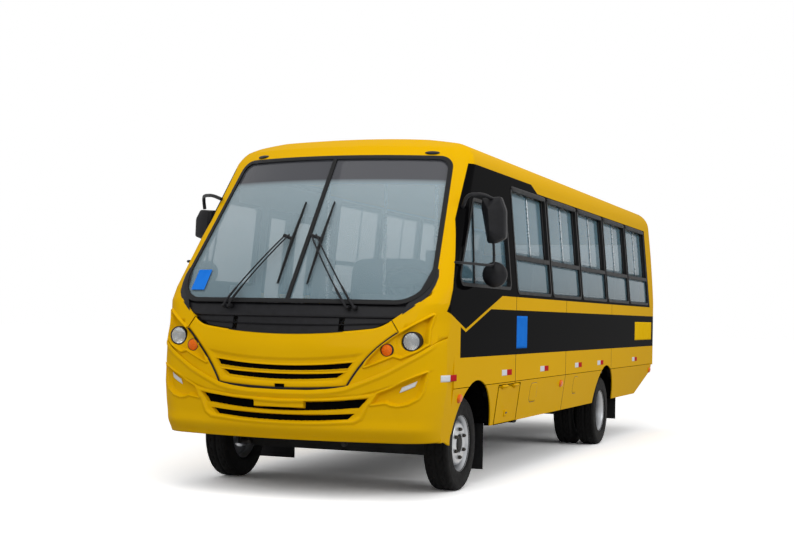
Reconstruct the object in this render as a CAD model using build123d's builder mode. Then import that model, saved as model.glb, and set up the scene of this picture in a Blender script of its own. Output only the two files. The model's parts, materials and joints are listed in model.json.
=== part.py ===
from build123d import *
from functools import cache
import math
import os

os.makedirs("parts", exist_ok=True)

# School bus, millimetres. The front faces -Y, +X is the driver's side, the ground is Z = 0.
overall_length = 8950.0
front_overhang = 1180.0
wheelbase = 4800.0
body_width = 2400.0
roof_height = 2915.0
front_y = -overall_length / 2
front_axle_y = front_y + front_overhang
rear_axle_y = front_axle_y + wheelbase
rear_y = overall_length / 2
half_body = body_width / 2


def station(distance):
    """Y of a place given as its distance behind the front axle."""
    return front_axle_y + distance


# Body section: skirt tucked in below the gap line, upright to the waist, leaning in to the eaves
body_bottom_z = 440.0
skirt_bottom_z = 490.0
gap_line_z = 845.0
waist_z = 1600.0
cantrail_z = 2620.0
eave_z = 2820.0
skirt_tuck = 48.0
eave_inset = 114.0
eave_radius = 238.0
wall = 52.0
panel_gap = 6.0
clearance = 0.3

# Stations of the body's joins
bumper_side_y = station(-750)
wall_front_y = station(-600)
roof_front_y = station(500)
pillar_low_z = 1590.0
pillar_top_y = station(160)
rear_join_y = station(7520)
departure_y = station(6640)
departure_z = 835.0

# Nose: plan sections from the bumper's lip to the roof
# columns: height, setback of the nose, plan radius, corner radius
nose_sections = (
    (440, 55, 3400, 330),
    (520, 12, 3400, 330),
    (680, 0, 3400, 330),
    (1150, 16, 3300, 330),
    (1350, 62, 3100, 330),
    (1490, 100, 3000, 240),
    (1600, 181, 2914, 200),
    (2700, 989, 2050, 130),
    (2800, 1110, 2000, 130),
    (2880, 1300, 2000, 130),
    (2940, 1680, 2000, 130),
)
nose_margin = 2.0
# The inner faces leave out the sections at these heights
outer_only_z = (520, 1350, 2880)
inner_from = 30.0
nose_back_y = station(1300)

# Wheels and axles
tyre_radius = 378.0
tyre_width = 211.0
rim_radius = 222.0
front_wheel_x = 973.0
kingpin_x = 850.0
twin_centre_x = 910.0
twin_spacing = 252.0
front_spindle_r = 30.0
rear_spindle_r = 45.0
arch_radius = 515.0

# Ladder frame and floor
rail_inner = 365.0
rail_outer = 435.0
rail_bottom_z = 600.0
rail_top_z = 800.0
rail_front_y = station(-1000)
rail_rear_y = station(7480)
floor_bottom_z = 900.0
floor_top_z = 940.0
floor_half = half_body - wall
engine_half = 330.0
engine_front_y = station(-740)
engine_rear_y = station(340)
firewall_front_y = station(-700)
firewall_rear_y = station(-670)
floor_front_y = firewall_front_y

# Windows
window_low_z = 1610.0
window_high_z = 2575.0
window_first_y = station(1095)
window_pitch = 1242.0
window_pillar = 46.0
window_count = 5
window_round = 70.0
window_seal = 28.0
transom_z = 1942.0
glass_inset = 18.0
glass_thick = 5.0
cab_window_low_z = 1640.0
cab_window_high_z = 2370.0

# Entry door on the kerb side
door_front_y = station(760)
door_rear_y = station(1860)
door_top_z = 2360.0
door_leaf_gap = 40.0
leaf_thick = 45.0

# Hinges
hinge_pin_r = 8.0
hinge_barrel_r = 13.0
hinge_relief_r = 19.0
hinge_stand_off = 6.0


def half_width(z):
    """Half the body's width at a height."""
    if z < gap_line_z:
        return half_body - skirt_tuck * (gap_line_z - z) / (gap_line_z - skirt_bottom_z)
    if z < waist_z:
        return half_body
    return half_body - eave_inset * (z - waist_z) / (eave_z - waist_z)


@cache
def body_prism(y_from, y_to, inset=0.0):
    """The body's cross-section, moved in by inset, carried along Y."""
    heights = (body_bottom_z, gap_line_z, waist_z, eave_z - inset)
    side = [(half_width(z) - inset, z) for z in heights]
    far_side = [(-x, z) for x, z in reversed(side)]
    with BuildPart() as prism:
        with BuildSketch(Plane.XZ.offset(-y_to)) as section:
            with BuildLine():
                Polyline(*side)
                ThreePointArc(side[-1], (0, roof_height - inset), far_side[0])
                Polyline(*far_side)
                Line(far_side[-1], side[0])
            make_face()
            fillet(section.vertices().group_by(Axis.Y)[-1], eave_radius - inset)
        extrude(amount=y_to - y_from)
    return prism.part


def body_band(y_from, y_to, outer, inner):
    """A layer of the body between two insets."""
    with BuildPart() as band:
        add(body_prism(y_from, y_to, outer))
        add(body_prism(y_from - 1, y_to + 1, inner), mode=Mode.SUBTRACT)
        with Locations((0, (y_from + y_to) / 2, body_bottom_z)):
            Box(body_width - 2 * inner - 2 * skirt_tuck - 40, y_to - y_from + 2, 60, mode=Mode.SUBTRACT)
    return band.part


@cache
def nose_envelope(inset=0.0):
    """Plan sections with a wide front arc and two corner arcs, lofted upwards."""
    with BuildPart() as envelope:
        for z, setback, plan_radius, corner_radius in nose_sections:
            if inset > inner_from and z in outer_only_z:
                continue
            edge = half_width(z) + nose_margin - inset
            plan_r = plan_radius - inset
            corner_r = corner_radius - inset
            nose = front_y + setback + inset
            centre = nose + plan_r
            corner_x = edge - corner_r
            corner_y = centre - math.sqrt((plan_r - corner_r) ** 2 - corner_x**2)
            reach = plan_r / (plan_r - corner_r)
            turn = math.atan2(corner_y - centre, corner_x) / 2
            start = (corner_x * reach, centre + (corner_y - centre) * reach)
            middle = (corner_x + corner_r * math.cos(turn), corner_y + corner_r * math.sin(turn))
            end = (edge, corner_y)
            with BuildSketch(Plane.XY.offset(z)):
                with BuildLine():
                    ThreePointArc((-start[0], start[1]), (0, nose), start)
                    ThreePointArc(start, middle, end)
                    Polyline(end, (edge, nose_back_y), (-edge, nose_back_y), (-end[0], end[1]))
                    ThreePointArc((-end[0], end[1]), (-middle[0], middle[1]), (-start[0], start[1]))
                make_face()
        loft(ruled=True)
    return envelope.part


@cache
def nose_solid(inset=0.0):
    with BuildPart() as nose:
        add(body_prism(front_y - 100, station(1200), inset))
        add(nose_envelope(inset), mode=Mode.INTERSECT)
    return nose.part


def nose_shell(outer, inner):
    with BuildPart() as shell:
        add(nose_solid(outer))
        add(nose_solid(inner), mode=Mode.SUBTRACT)
    return shell.part


def nose_y(x, z):
    """Y of the nose's front arc at a height and a distance from the middle."""
    rows = [row for row in nose_sections if row[0] <= z]
    low = rows[-1]
    high = nose_sections[min(len(rows), len(nose_sections) - 1)]
    share = 0.0 if high[0] == low[0] else (z - low[0]) / (high[0] - low[0])
    setback = low[1] + share * (high[1] - low[1])
    plan_radius = low[2] + share * (high[2] - low[2])
    return front_y + setback + plan_radius - math.sqrt(plan_radius**2 - x**2)


def rod(start, end, radius, mode=Mode.ADD):
    """A round bar from one point to another, in the open part."""
    run = Vector(*end) - Vector(*start)
    with BuildSketch(Plane(origin=start, z_dir=run)) as disc:
        Circle(radius)
    extrude(disc.sketch, amount=run.length, mode=mode)


def block(x_from, x_to, y_from, y_to, z_from, z_to, mode=Mode.ADD):
    """A box given by its faces."""
    with Locations(((x_from + x_to) / 2, (y_from + y_to) / 2, (z_from + z_to) / 2)):
        Box(x_to - x_from, y_to - y_from, z_to - z_from, mode=mode)


pieces = {}


# Region of the nose panel: ahead of the walls, then back along the raked pillar to the roof's front edge
with BuildPart() as nose_region:
    with BuildSketch(Plane.YZ.offset(-half_body - 200)):
        Polygon(
            (front_y - 200, 0),
            (wall_front_y, 0),
            (wall_front_y, pillar_low_z),
            (pillar_top_y, cantrail_z),
            (roof_front_y, cantrail_z),
            (roof_front_y, roof_height + 200),
            (front_y - 200, roof_height + 200),
            align=None,
        )
    extrude(amount=body_width + 400)


# Front-view outlines, each carried along Y through the nose
hatch_top = 1247.0
hatch_low = 865.0
hatch_half_top = 833.0
hatch_half_low = 532.0
hatch_peak = 1359.0


def hatch_prism(grow):
    with BuildPart() as prism:
        with BuildSketch(Plane.XZ.offset(-station(-880))):
            with BuildLine():
                ThreePointArc((-700, 1295), (0, hatch_top), (700, 1295))
                Line((700, 1295), (hatch_half_top, hatch_peak))
                Line((hatch_half_top, hatch_peak), (890, 1275))
                ThreePointArc((890, 1275), (660, 1058), (hatch_half_low, hatch_low))
                ThreePointArc((hatch_half_low, hatch_low), (0, hatch_low - 27), (-hatch_half_low, hatch_low))
                ThreePointArc((-hatch_half_low, hatch_low), (-660, 1058), (-890, 1275))
                Line((-890, 1275), (-hatch_half_top, hatch_peak))
                Line((-hatch_half_top, hatch_peak), (-700, 1295))
            make_face()
            if grow:
                offset(amount=grow)
        extrude(amount=400)
    return prism.part


ridge_z = 776.0
ridge_radius = 1750.0


def bumper_prism(drop):
    """Everything below the smile-shaped ridge, ahead of the bumper's side gap."""
    with BuildPart() as prism:
        with BuildSketch(Plane.XZ.offset(drop - bumper_side_y)):
            with Locations((0, (body_bottom_z + ridge_z + ridge_radius) / 2 - 40)):
                Rectangle(body_width + 400, ridge_z + ridge_radius - body_bottom_z + 80)
            with Locations((0, ridge_z + ridge_radius - drop)):
                Circle(ridge_radius, mode=Mode.SUBTRACT)
            with Locations((0, 1300 + 1000)):
                Rectangle(body_width + 800, 2000, mode=Mode.SUBTRACT)
            with Locations((0, hatch_low - 100)):
                Rectangle(2 * (hatch_half_low + 8 - drop), 200)
        extrude(amount=700)
        add(hatch_prism(panel_gap), mode=Mode.SUBTRACT)
    return prism.part


screen_low_z = 1480.0
screen_high_z = 2715.0
screen_half_low = 1112.0
screen_half_high = 950.0


def screen_prism(shrink, y_from=station(200)):
    """Windscreen outline, rounder below than above."""
    with BuildPart() as prism:
        with BuildSketch(Plane.XZ.offset(-y_from)) as outline:
            Polygon(
                (-screen_half_low, screen_low_z),
                (screen_half_low, screen_low_z),
                (screen_half_high, screen_high_z),
                (-screen_half_high, screen_high_z),
                align=None,
            )
            fillet(outline.vertices().group_by(Axis.Y)[0], 240)
            fillet(outline.vertices().group_by(Axis.Y)[-1], 120)
            if shrink:
                offset(amount=-shrink)
        extrude(amount=1600)
    return prism.part


def cowl_prism(grow):
    """Black cowl between the hatch's top edge and the windscreen."""
    with BuildPart() as prism:
        with BuildSketch(Plane.XZ.offset(-station(-800))):
            with BuildLine():
                ThreePointArc((-700, 1295), (0, hatch_top), (700, 1295))
                Line((700, 1295), (hatch_half_top, hatch_peak))
                Line((hatch_half_top, hatch_peak), (1085, 1560))
                Line((1085, 1560), (1085, 1640))
                Line((1085, 1640), (-1085, 1640))
                Line((-1085, 1640), (-1085, 1560))
                Line((-1085, 1560), (-hatch_half_top, hatch_peak))
                Line((-hatch_half_top, hatch_peak), (-700, 1295))
            make_face()
        extrude(amount=500)
        add(screen_prism(0), mode=Mode.SUBTRACT)
        add(hatch_prism(grow), mode=Mode.SUBTRACT)
    return prism.part


def twin_prism(corners):
    """The same front-view outline on both sides, carried along Y through the nose."""
    with BuildPart() as prism:
        with BuildSketch(Plane.XZ.offset(-station(-780))):
            for side in (1, -1):
                Polygon(*[(side * x, z) for x, z in corners], align=None)
        extrude(amount=500)
    return prism.part


def smile_slot(low, low_rise, high, high_rise, half_low, half_high):
    """A slot through the nose whose edges rise towards its ends."""
    with BuildPart() as prism:
        with BuildSketch(Plane.XZ.offset(-station(-950))):
            with BuildLine():
                ThreePointArc((-half_low, low + low_rise), (0, low), (half_low, low + low_rise))
                Line((half_low, low + low_rise), (half_high, high + high_rise))
                ThreePointArc((half_high, high + high_rise), (0, high), (-half_high, high + high_rise))
                Line((-half_high, high + high_rise), (-half_low, low + low_rise))
            make_face()
        extrude(amount=400)
    return prism.part


headlamp_x = 990.0
headlamp_z = 1206.0
headlamp_r = 80.0
turn_lamp_x = 820.0
turn_lamp_z = 1138.0
turn_lamp_r = 58.0
lamp_depth = 110.0
lamp_setback = 14.0
# Teardrop pocket round each pair of lamps, as x and z
pod_depth = 36.0
pod_corners = (
    (1118, 1405),
    (905, 1266),
    (862, 1236),
    (765, 1150),
    (688, 1062),
    (664, 1012),
    (749, 1046),
    (870, 1100),
    (925, 1084),
    (1032, 1136),
    (1100, 1190),
    (1096, 1300),
)
# columns: x, z, radius
front_lamps = ((headlamp_x, headlamp_z, headlamp_r), (turn_lamp_x, turn_lamp_z, turn_lamp_r))

shell = nose_shell(0, wall)

with BuildPart() as lamp_pods:
    add(nose_shell(0, pod_depth))
    add(twin_prism(pod_corners), mode=Mode.INTERSECT)

with BuildPart() as front_mask:
    add(shell)
    add(lamp_pods.part, mode=Mode.SUBTRACT)
    add(nose_region.part, mode=Mode.INTERSECT)
    add(bumper_prism(0), mode=Mode.SUBTRACT)
    add(hatch_prism(panel_gap), mode=Mode.SUBTRACT)
    add(cowl_prism(0), mode=Mode.SUBTRACT)
    add(screen_prism(0), mode=Mode.SUBTRACT)
    for lamp_x, lamp_z, lamp_r in front_lamps:
        with BuildSketch(Plane.XZ.offset(-station(-780))):
            with Locations((lamp_x, lamp_z), (-lamp_x, lamp_z)):
                Circle(lamp_r + clearance)
        extrude(amount=500, mode=Mode.SUBTRACT)
    for side in (1, -1):
        with BuildSketch(Plane.YZ.offset(side * half_body - 150)):
            with Locations((front_axle_y, tyre_radius)):
                Circle(arch_radius)
        extrude(amount=300, mode=Mode.SUBTRACT)
pieces["front_mask"] = front_mask

# Grille slots, columns: low z, its rise at the ends, high z, its rise, half-width at the bottom and the top
bumper_slots = ((670, 36, 731, 40, 630, 690), (588, 30, 631, 26, 545, 605))
hatch_slots = ((972, 27, 1000, 34, 535, 560), (904, 23, 936, 21, 455, 510))
# Pocket for the reflector in each corner of the bumper, as x and z
corner_depth = 24.0
corner_pocket = (
    (1100, 972),
    (980, 912),
    (860, 850),
    (770, 812),
    (722, 735),
    (830, 752),
    (915, 730),
    (985, 746),
    (1050, 786),
    (1075, 830),
)
# Plate holder across the upper slot
plate_half = 210.0
plate_low_z = 688.0
plate_high_z = 750.0
plate_thick = 40.0

with BuildPart() as corner_pockets:
    add(nose_shell(0, corner_depth))
    add(twin_prism(corner_pocket), mode=Mode.INTERSECT)
with BuildPart() as plate_holder:
    add(nose_shell(0, plate_thick))
    block(-plate_half, plate_half, front_y - 50, station(-900), plate_low_z, plate_high_z, Mode.INTERSECT)

with BuildPart() as front_bumper:
    add(shell)
    add(bumper_prism(panel_gap), mode=Mode.INTERSECT)
    for slot in bumper_slots:
        add(smile_slot(*slot), mode=Mode.SUBTRACT)
    add(corner_pockets.part, mode=Mode.SUBTRACT)
    add(plate_holder.part)
    for x_from in (rail_inner, -rail_outer):
        x_to = x_from + rail_outer - rail_inner
        bracket_y = nose_y(rail_inner, ridge_z) + wall - 10
        block(x_from, x_to, bracket_y, rail_front_y, rail_top_z - 28, rail_top_z - 2)
pieces["front_bumper"] = front_bumper

# Black grille behind the bumper's slots
grille_thick = 8.0
with BuildPart() as bumper_grille:
    add(nose_shell(wall, wall + grille_thick))
    block(-720, 720, front_y - 50, station(-900), 570, 771, Mode.INTERSECT)
pieces["bumper_grille"] = bumper_grille

# Cowl set back behind the hatch's top edge, with two slots for the hatch's hinge arms
cowl_inset = 35.0
wiper_pivot_z = 1450.0
wiper_pivot_r = 16.0
wiper_pivot_xs = (529, -518)
arm_x = 450.0
arm_thick = 20.0
hatch_axis_y = station(-990)
hatch_axis_z = 1360.0
hatch_rod_r = 12.0

with BuildPart() as front_cowl:
    add(nose_shell(cowl_inset, cowl_inset + 25))
    add(cowl_prism(panel_gap), mode=Mode.INTERSECT)
    for x in (arm_x, -arm_x):
        block(x - 22, x + 22, front_y - 50, station(-900), 1200, 1415, Mode.SUBTRACT)
    with BuildSketch(Plane.XZ.offset(-station(-800))):
        for x in wiper_pivot_xs:
            with Locations((x, wiper_pivot_z)):
                Circle(wiper_pivot_r + clearance)
    extrude(amount=500, mode=Mode.SUBTRACT)
pieces["front_cowl"] = front_cowl

# Front hatch on two arms that turn about a rod behind the cowl
hatch_thick = 40.0
with BuildPart() as front_hatch:
    add(nose_shell(0, hatch_thick))
    add(hatch_prism(0), mode=Mode.INTERSECT)
    for slot in hatch_slots:
        add(smile_slot(*slot), mode=Mode.SUBTRACT)
    arm_foot_y = nose_y(arm_x, 1200) + hatch_thick - 8
    for x in (arm_x, -arm_x):
        with BuildSketch(Plane.YZ.offset(x - arm_thick / 2)):
            with BuildLine():
                Polyline(
                    (hatch_axis_y - 20, hatch_axis_z + 8),
                    (hatch_axis_y + 20, hatch_axis_z - 8),
                    (hatch_axis_y - 20, 1250),
                    (arm_foot_y, 1170),
                    (arm_foot_y, 1235),
                    (hatch_axis_y - 20, hatch_axis_z + 8),
                )
            make_face()
            with Locations((hatch_axis_y, hatch_axis_z)):
                Circle(24)
                Circle(hatch_rod_r + clearance, mode=Mode.SUBTRACT)
        extrude(amount=arm_thick)
pieces["front_hatch"] = front_hatch

with BuildPart() as hatch_grille:
    add(nose_shell(hatch_thick, hatch_thick + grille_thick))
    block(-570, 570, front_y - 50, station(-900), 880, 1050, Mode.INTERSECT)
    add(hatch_prism(0), mode=Mode.INTERSECT)
pieces["hatch_grille"] = hatch_grille

# Hinge rod with brackets up to the cowl's back
with BuildPart() as hatch_hinge_rod:
    rod((-560, hatch_axis_y, hatch_axis_z), (560, hatch_axis_y, hatch_axis_z), hatch_rod_r)
    for x in (545, -545):
        block(x - 12, x + 12, nose_y(545, 1400) + cowl_inset + 24, hatch_axis_y + 20, 1345, 1400)
    add(nose_solid(cowl_inset + 25), mode=Mode.INTERSECT)
pieces["hatch_hinge_rod"] = hatch_hinge_rod

# Windscreen gasket with its middle post, and two curved panes
gasket_width = 34.0
post_half = 16.0
with BuildPart() as gasket_ring:
    add(nose_envelope(-8))
    add(nose_envelope(40), mode=Mode.SUBTRACT)
    add(screen_prism(clearance), mode=Mode.INTERSECT)
with BuildPart() as pane_space:
    add(screen_prism(gasket_width))
    block(-post_half, post_half, front_y - 200, station(400), 1000, 3000, Mode.SUBTRACT)
with BuildPart() as windscreen_gasket:
    add(gasket_ring.part)
    add(pane_space.part, mode=Mode.SUBTRACT)
pieces["windscreen_gasket"] = windscreen_gasket

with BuildPart() as windscreen:
    add(nose_envelope(10))
    add(nose_envelope(17), mode=Mode.SUBTRACT)
    add(screen_prism(gasket_width + clearance), mode=Mode.INTERSECT)
    block(
        -post_half - clearance,
        post_half + clearance,
        front_y - 200,
        station(400),
        1000,
        3000,
        Mode.SUBTRACT,
    )
pieces["windscreen"] = windscreen

# Lamps in the nose
with BuildPart() as headlamps:
    with BuildSketch(Plane.XZ.offset(-nose_y(headlamp_x, headlamp_z) - lamp_depth)):
        with Locations((headlamp_x, headlamp_z), (-headlamp_x, headlamp_z)):
            Circle(headlamp_r)
    extrude(amount=lamp_depth - lamp_setback)
pieces["headlamps"] = headlamps

with BuildPart() as turn_lamps:
    with BuildSketch(Plane.XZ.offset(-nose_y(turn_lamp_x, turn_lamp_z) - lamp_depth)):
        with Locations((turn_lamp_x, turn_lamp_z), (-turn_lamp_x, turn_lamp_z)):
            Circle(turn_lamp_r)
    extrude(amount=lamp_depth - lamp_setback)
pieces["turn_lamps"] = turn_lamps

# Body sides: gap line up to the cantrail, windows and doorway cut through
wall_low_z = gap_line_z + panel_gap / 2
side_ring = body_band(station(-700), rear_join_y, 0, wall)
seal_ring = body_band(station(-700), rear_join_y, -4, wall - 6)
pane_ring = body_band(station(-700), rear_join_y, glass_inset, glass_inset + glass_thick)
leaf_ring = body_band(station(600), station(2000), 0, leaf_thick)

# columns: front low, rear low, rear high, front high, as distances behind the front axle
cab_windows = {1: (-535, 945, 945, 2), -1: (-535, 640, 640, 2)}
side_windows = {1: range(window_count), -1: range(1, window_count)}


def window_prism(side, shrink):
    """Every window opening of one side, each moved in by shrink."""
    front_low, rear_low, rear_high, front_high = cab_windows[side]
    with BuildPart() as prism:
        with BuildSketch(Plane.YZ.offset(side * half_body - 250)) as cab_opening:
            Polygon(
                (station(front_low), cab_window_low_z),
                (station(rear_low), cab_window_low_z),
                (station(rear_high), cab_window_high_z),
                (station(front_high), cab_window_high_z),
                align=None,
            )
            fillet(cab_opening.vertices(), window_round)
            if shrink:
                offset(amount=-shrink)
        extrude(amount=500)
        with BuildSketch(Plane.YZ.offset(side * half_body - 250)):
            for index in side_windows[side]:
                middle_y = window_first_y + (index + 0.5) * window_pitch
                with Locations((middle_y, (window_low_z + window_high_z) / 2)):
                    RectangleRounded(
                        window_pitch - window_pillar - 2 * shrink,
                        window_high_z - window_low_z - 2 * shrink,
                        window_round - shrink,
                    )
        extrude(amount=500)
    return prism.part


def hinge_ends(axis_x, axis_y, mid_z):
    """A fixed pin and its two end barrels, upright."""
    rod((axis_x, axis_y, mid_z - 80), (axis_x, axis_y, mid_z + 80), hinge_pin_r)
    rod((axis_x, axis_y, mid_z - 80), (axis_x, axis_y, mid_z - 50), hinge_barrel_r)
    rod((axis_x, axis_y, mid_z + 50), (axis_x, axis_y, mid_z + 80), hinge_barrel_r)


def side_wall(side):
    with BuildPart() as panel:
        add(side_ring)
        block(
            min(0, side * 1300),
            max(0, side * 1300),
            station(-800),
            rear_join_y,
            wall_low_z,
            cantrail_z,
            Mode.INTERSECT,
        )
        add(nose_region.part, mode=Mode.SUBTRACT)
        add(window_prism(side, 0), mode=Mode.SUBTRACT)
        for axle_y in (front_axle_y, rear_axle_y):
            with Locations(Location((side * half_body, axle_y, tyre_radius), (0, 90, 0))):
                Cylinder(arch_radius, 300, mode=Mode.SUBTRACT)
    return panel


left_wall = side_wall(1)
pieces["left_wall"] = left_wall

door_axis_x = -half_body - hinge_stand_off
door_hinge_heights = (1000, 1500)

with BuildPart() as right_wall:
    add(side_wall(-1).part)
    block(-1300, -1000, door_front_y, door_rear_y, 0, door_top_z, Mode.SUBTRACT)
    for axis_y in (door_front_y, door_rear_y):
        for hinge_z in door_hinge_heights:
            with Locations((door_axis_x, axis_y, hinge_z)):
                Cylinder(hinge_relief_r, 106, mode=Mode.SUBTRACT)
            hinge_ends(door_axis_x, axis_y, hinge_z)
pieces["right_wall"] = right_wall

# Door leaves, hinged at the outer edges of the doorway
leaf_low_z = 500.0
leaf_high_z = door_top_z - panel_gap
leaf_width = (door_rear_y - door_front_y - 2 * panel_gap - door_leaf_gap) / 2
leaf_frame = 70.0
leaf_glass_low_z = 1080.0


def door_leaf(edge_y, away):
    """A leaf from its hinge edge, reaching away along +Y or -Y."""
    near = edge_y + away * panel_gap
    far = near + away * leaf_width
    y_from, y_to = min(near, far), max(near, far)
    with BuildPart() as leaf:
        add(leaf_ring)
        block(-1300, -900, y_from, y_to, leaf_low_z, leaf_high_z, Mode.INTERSECT)
        block(
            -1300,
            -900,
            y_from + leaf_frame,
            y_to - leaf_frame,
            leaf_glass_low_z,
            leaf_high_z - leaf_frame,
            Mode.SUBTRACT,
        )
        for hinge_z in door_hinge_heights:
            for end_z in (hinge_z - 68, hinge_z + 68):
                with Locations((door_axis_x, edge_y, end_z)):
                    Cylinder(hinge_relief_r, 44, mode=Mode.SUBTRACT)
            rod((door_axis_x, edge_y, hinge_z - 45), (door_axis_x, edge_y, hinge_z + 45), hinge_barrel_r)
            block(
                door_axis_x,
                door_axis_x + 14,
                min(edge_y, edge_y + away * 20),
                max(edge_y, edge_y + away * 20),
                hinge_z - 45,
                hinge_z + 45,
            )
            with Locations((door_axis_x, edge_y, hinge_z)):
                Cylinder(hinge_pin_r + clearance, 200, mode=Mode.SUBTRACT)
    return leaf


def door_pane(edge_y, away):
    near = edge_y + away * (panel_gap + leaf_frame)
    far = edge_y + away * (panel_gap + leaf_width - leaf_frame)
    with BuildPart() as pane:
        add(pane_ring)
        block(
            -1300,
            -900,
            min(near, far) + clearance,
            max(near, far) - clearance,
            leaf_glass_low_z + clearance,
            leaf_high_z - leaf_frame - clearance,
            Mode.INTERSECT,
        )
    return pane


# columns: name of the leaf, name of its pane, hinge edge, direction away from the hinge
for leaf_name, pane_name, edge_y, away in (
    ("door_leaf_front", "door_glass_front", door_front_y, 1),
    ("door_leaf_rear", "door_glass_rear", door_rear_y, -1),
):
    pieces[leaf_name] = door_leaf(edge_y, away)
    pieces[pane_name] = door_pane(edge_y, away)

# Window seals with a transom, and their panes
transom_half = 20.0


def seal_frames(side):
    """Frames round the windows of one side, each with its transom."""
    with BuildPart() as frames:
        add(window_prism(side, clearance))
        add(window_prism(side, window_seal), mode=Mode.SUBTRACT)
        for index in side_windows[side]:
            middle_y = window_first_y + (index + 0.5) * window_pitch
            half_opening = (window_pitch - window_pillar) / 2 - window_seal + 5
            block(
                min(side * 900, side * 1400),
                max(side * 900, side * 1400),
                middle_y - half_opening,
                middle_y + half_opening,
                transom_z - transom_half,
                transom_z + transom_half,
            )
        add(seal_ring, mode=Mode.INTERSECT)
    return frames.part


def side_panes(side):
    """Panes of one side, parted at the transoms."""
    with BuildPart() as panes:
        add(window_prism(side, window_seal + clearance))
        block(
            min(side * 900, side * 1400),
            max(side * 900, side * 1400),
            window_first_y,
            rear_join_y,
            transom_z - transom_half - clearance,
            transom_z + transom_half + clearance,
            Mode.SUBTRACT,
        )
        add(pane_ring, mode=Mode.INTERSECT)
    return panes.part


with BuildPart() as window_seals:
    add(seal_frames(1))
    add(seal_frames(-1))
pieces["window_seals"] = window_seals

# Skirts below the gap line, cut by the arches, the locker and the doorway
skirt_top_z = gap_line_z - panel_gap / 2
locker_front_y = station(600)
locker_rear_y = station(1260)
locker_top_z = 807.0
locker_axis_z = locker_top_z + panel_gap
locker_axis_x = half_width(locker_axis_z) + hinge_stand_off
locker_hinge_ys = (locker_front_y + 160, locker_rear_y - 160)
skirt_front_y = wall_front_y

with BuildPart() as departure_cut:
    with BuildSketch(Plane.YZ.offset(-1400)):
        Polygon(
            (departure_y, 300),
            (departure_y, skirt_bottom_z),
            (rear_y, departure_z),
            (rear_y + 200, departure_z + 60),
            (rear_y + 200, 300),
            align=None,
        )
    extrude(amount=2800)

with BuildPart() as skirts:
    add(side_ring)
    block(-1300, 1300, skirt_front_y, rear_join_y, skirt_bottom_z, skirt_top_z, Mode.INTERSECT)
    for axle_y in (front_axle_y, rear_axle_y):
        with Locations(Location((0, axle_y, tyre_radius), (0, 90, 0))):
            Cylinder(arch_radius, 2600, mode=Mode.SUBTRACT)
    add(departure_cut.part, mode=Mode.SUBTRACT)
    block(-1300, -1000, door_front_y, door_rear_y, 0, 1000, Mode.SUBTRACT)
    block(
        1000,
        1300,
        locker_front_y - panel_gap,
        locker_rear_y + panel_gap,
        0,
        locker_top_z + panel_gap,
        Mode.SUBTRACT,
    )
    for hinge_y in locker_hinge_ys:
        with Locations(Location((locker_axis_x, hinge_y, locker_axis_z), (90, 0, 0))):
            Cylinder(hinge_relief_r, 106, mode=Mode.SUBTRACT)
        pin_ends = [(locker_axis_x, hinge_y + end, locker_axis_z) for end in (-80, 80)]
        rod(*pin_ends, hinge_pin_r)
        for end_y in (hinge_y - 80, hinge_y + 50):
            barrel_ends = [(locker_axis_x, y, locker_axis_z) for y in (end_y, end_y + 30)]
            rod(*barrel_ends, hinge_barrel_r)
pieces["skirts"] = skirts

with BuildPart() as locker_flap:
    add(body_band(station(500), station(1400), 0, 40))
    block(1000, 1300, locker_front_y, locker_rear_y, skirt_bottom_z, locker_top_z, Mode.INTERSECT)
    for hinge_y in locker_hinge_ys:
        for end_y in (hinge_y - 68, hinge_y + 68):
            with Locations(Location((locker_axis_x, end_y, locker_axis_z), (90, 0, 0))):
                Cylinder(hinge_relief_r, 44, mode=Mode.SUBTRACT)
        barrel_ends = [(locker_axis_x, hinge_y + end, locker_axis_z) for end in (-45, 45)]
        rod(*barrel_ends, hinge_barrel_r)
        block(
            locker_axis_x - 14,
            locker_axis_x,
            hinge_y - 45,
            hinge_y + 45,
            locker_axis_z - 22,
            locker_axis_z,
        )
        with Locations(Location((locker_axis_x, hinge_y, locker_axis_z), (90, 0, 0))):
            Cylinder(hinge_pin_r + clearance, 200, mode=Mode.SUBTRACT)
pieces["locker_flap"] = locker_flap

# Roof with the opening of its hatch
hatch_mid_y = station(3600)
roof_opening = 560.0
coaming_z = roof_height + 20
with BuildPart() as roof:
    add(body_band(roof_front_y, rear_join_y, 0, wall))
    block(-1300, 1300, roof_front_y - 10, rear_join_y + 10, 0, cantrail_z, Mode.SUBTRACT)
    block(-1300, 1300, roof_front_y - 900, roof_front_y, 0, 4000, Mode.SUBTRACT)
    block(-320, 320, hatch_mid_y - 320, hatch_mid_y + 320, roof_height - 40, coaming_z)
    block(
        -roof_opening / 2,
        roof_opening / 2,
        hatch_mid_y - roof_opening / 2,
        hatch_mid_y + roof_opening / 2,
        roof_height - 200,
        roof_height + 200,
        Mode.SUBTRACT,
    )
    for x in (220, -220):
        block(x - 45, x - 25, hatch_mid_y - 320, hatch_mid_y - 290, coaming_z, coaming_z + 26)
        block(x + 25, x + 45, hatch_mid_y - 320, hatch_mid_y - 290, coaming_z, coaming_z + 26)
        rod((x - 45, hatch_mid_y - 306, coaming_z + 14), (x + 45, hatch_mid_y - 306, coaming_z + 14), 6)
pieces["roof"] = roof

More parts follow.
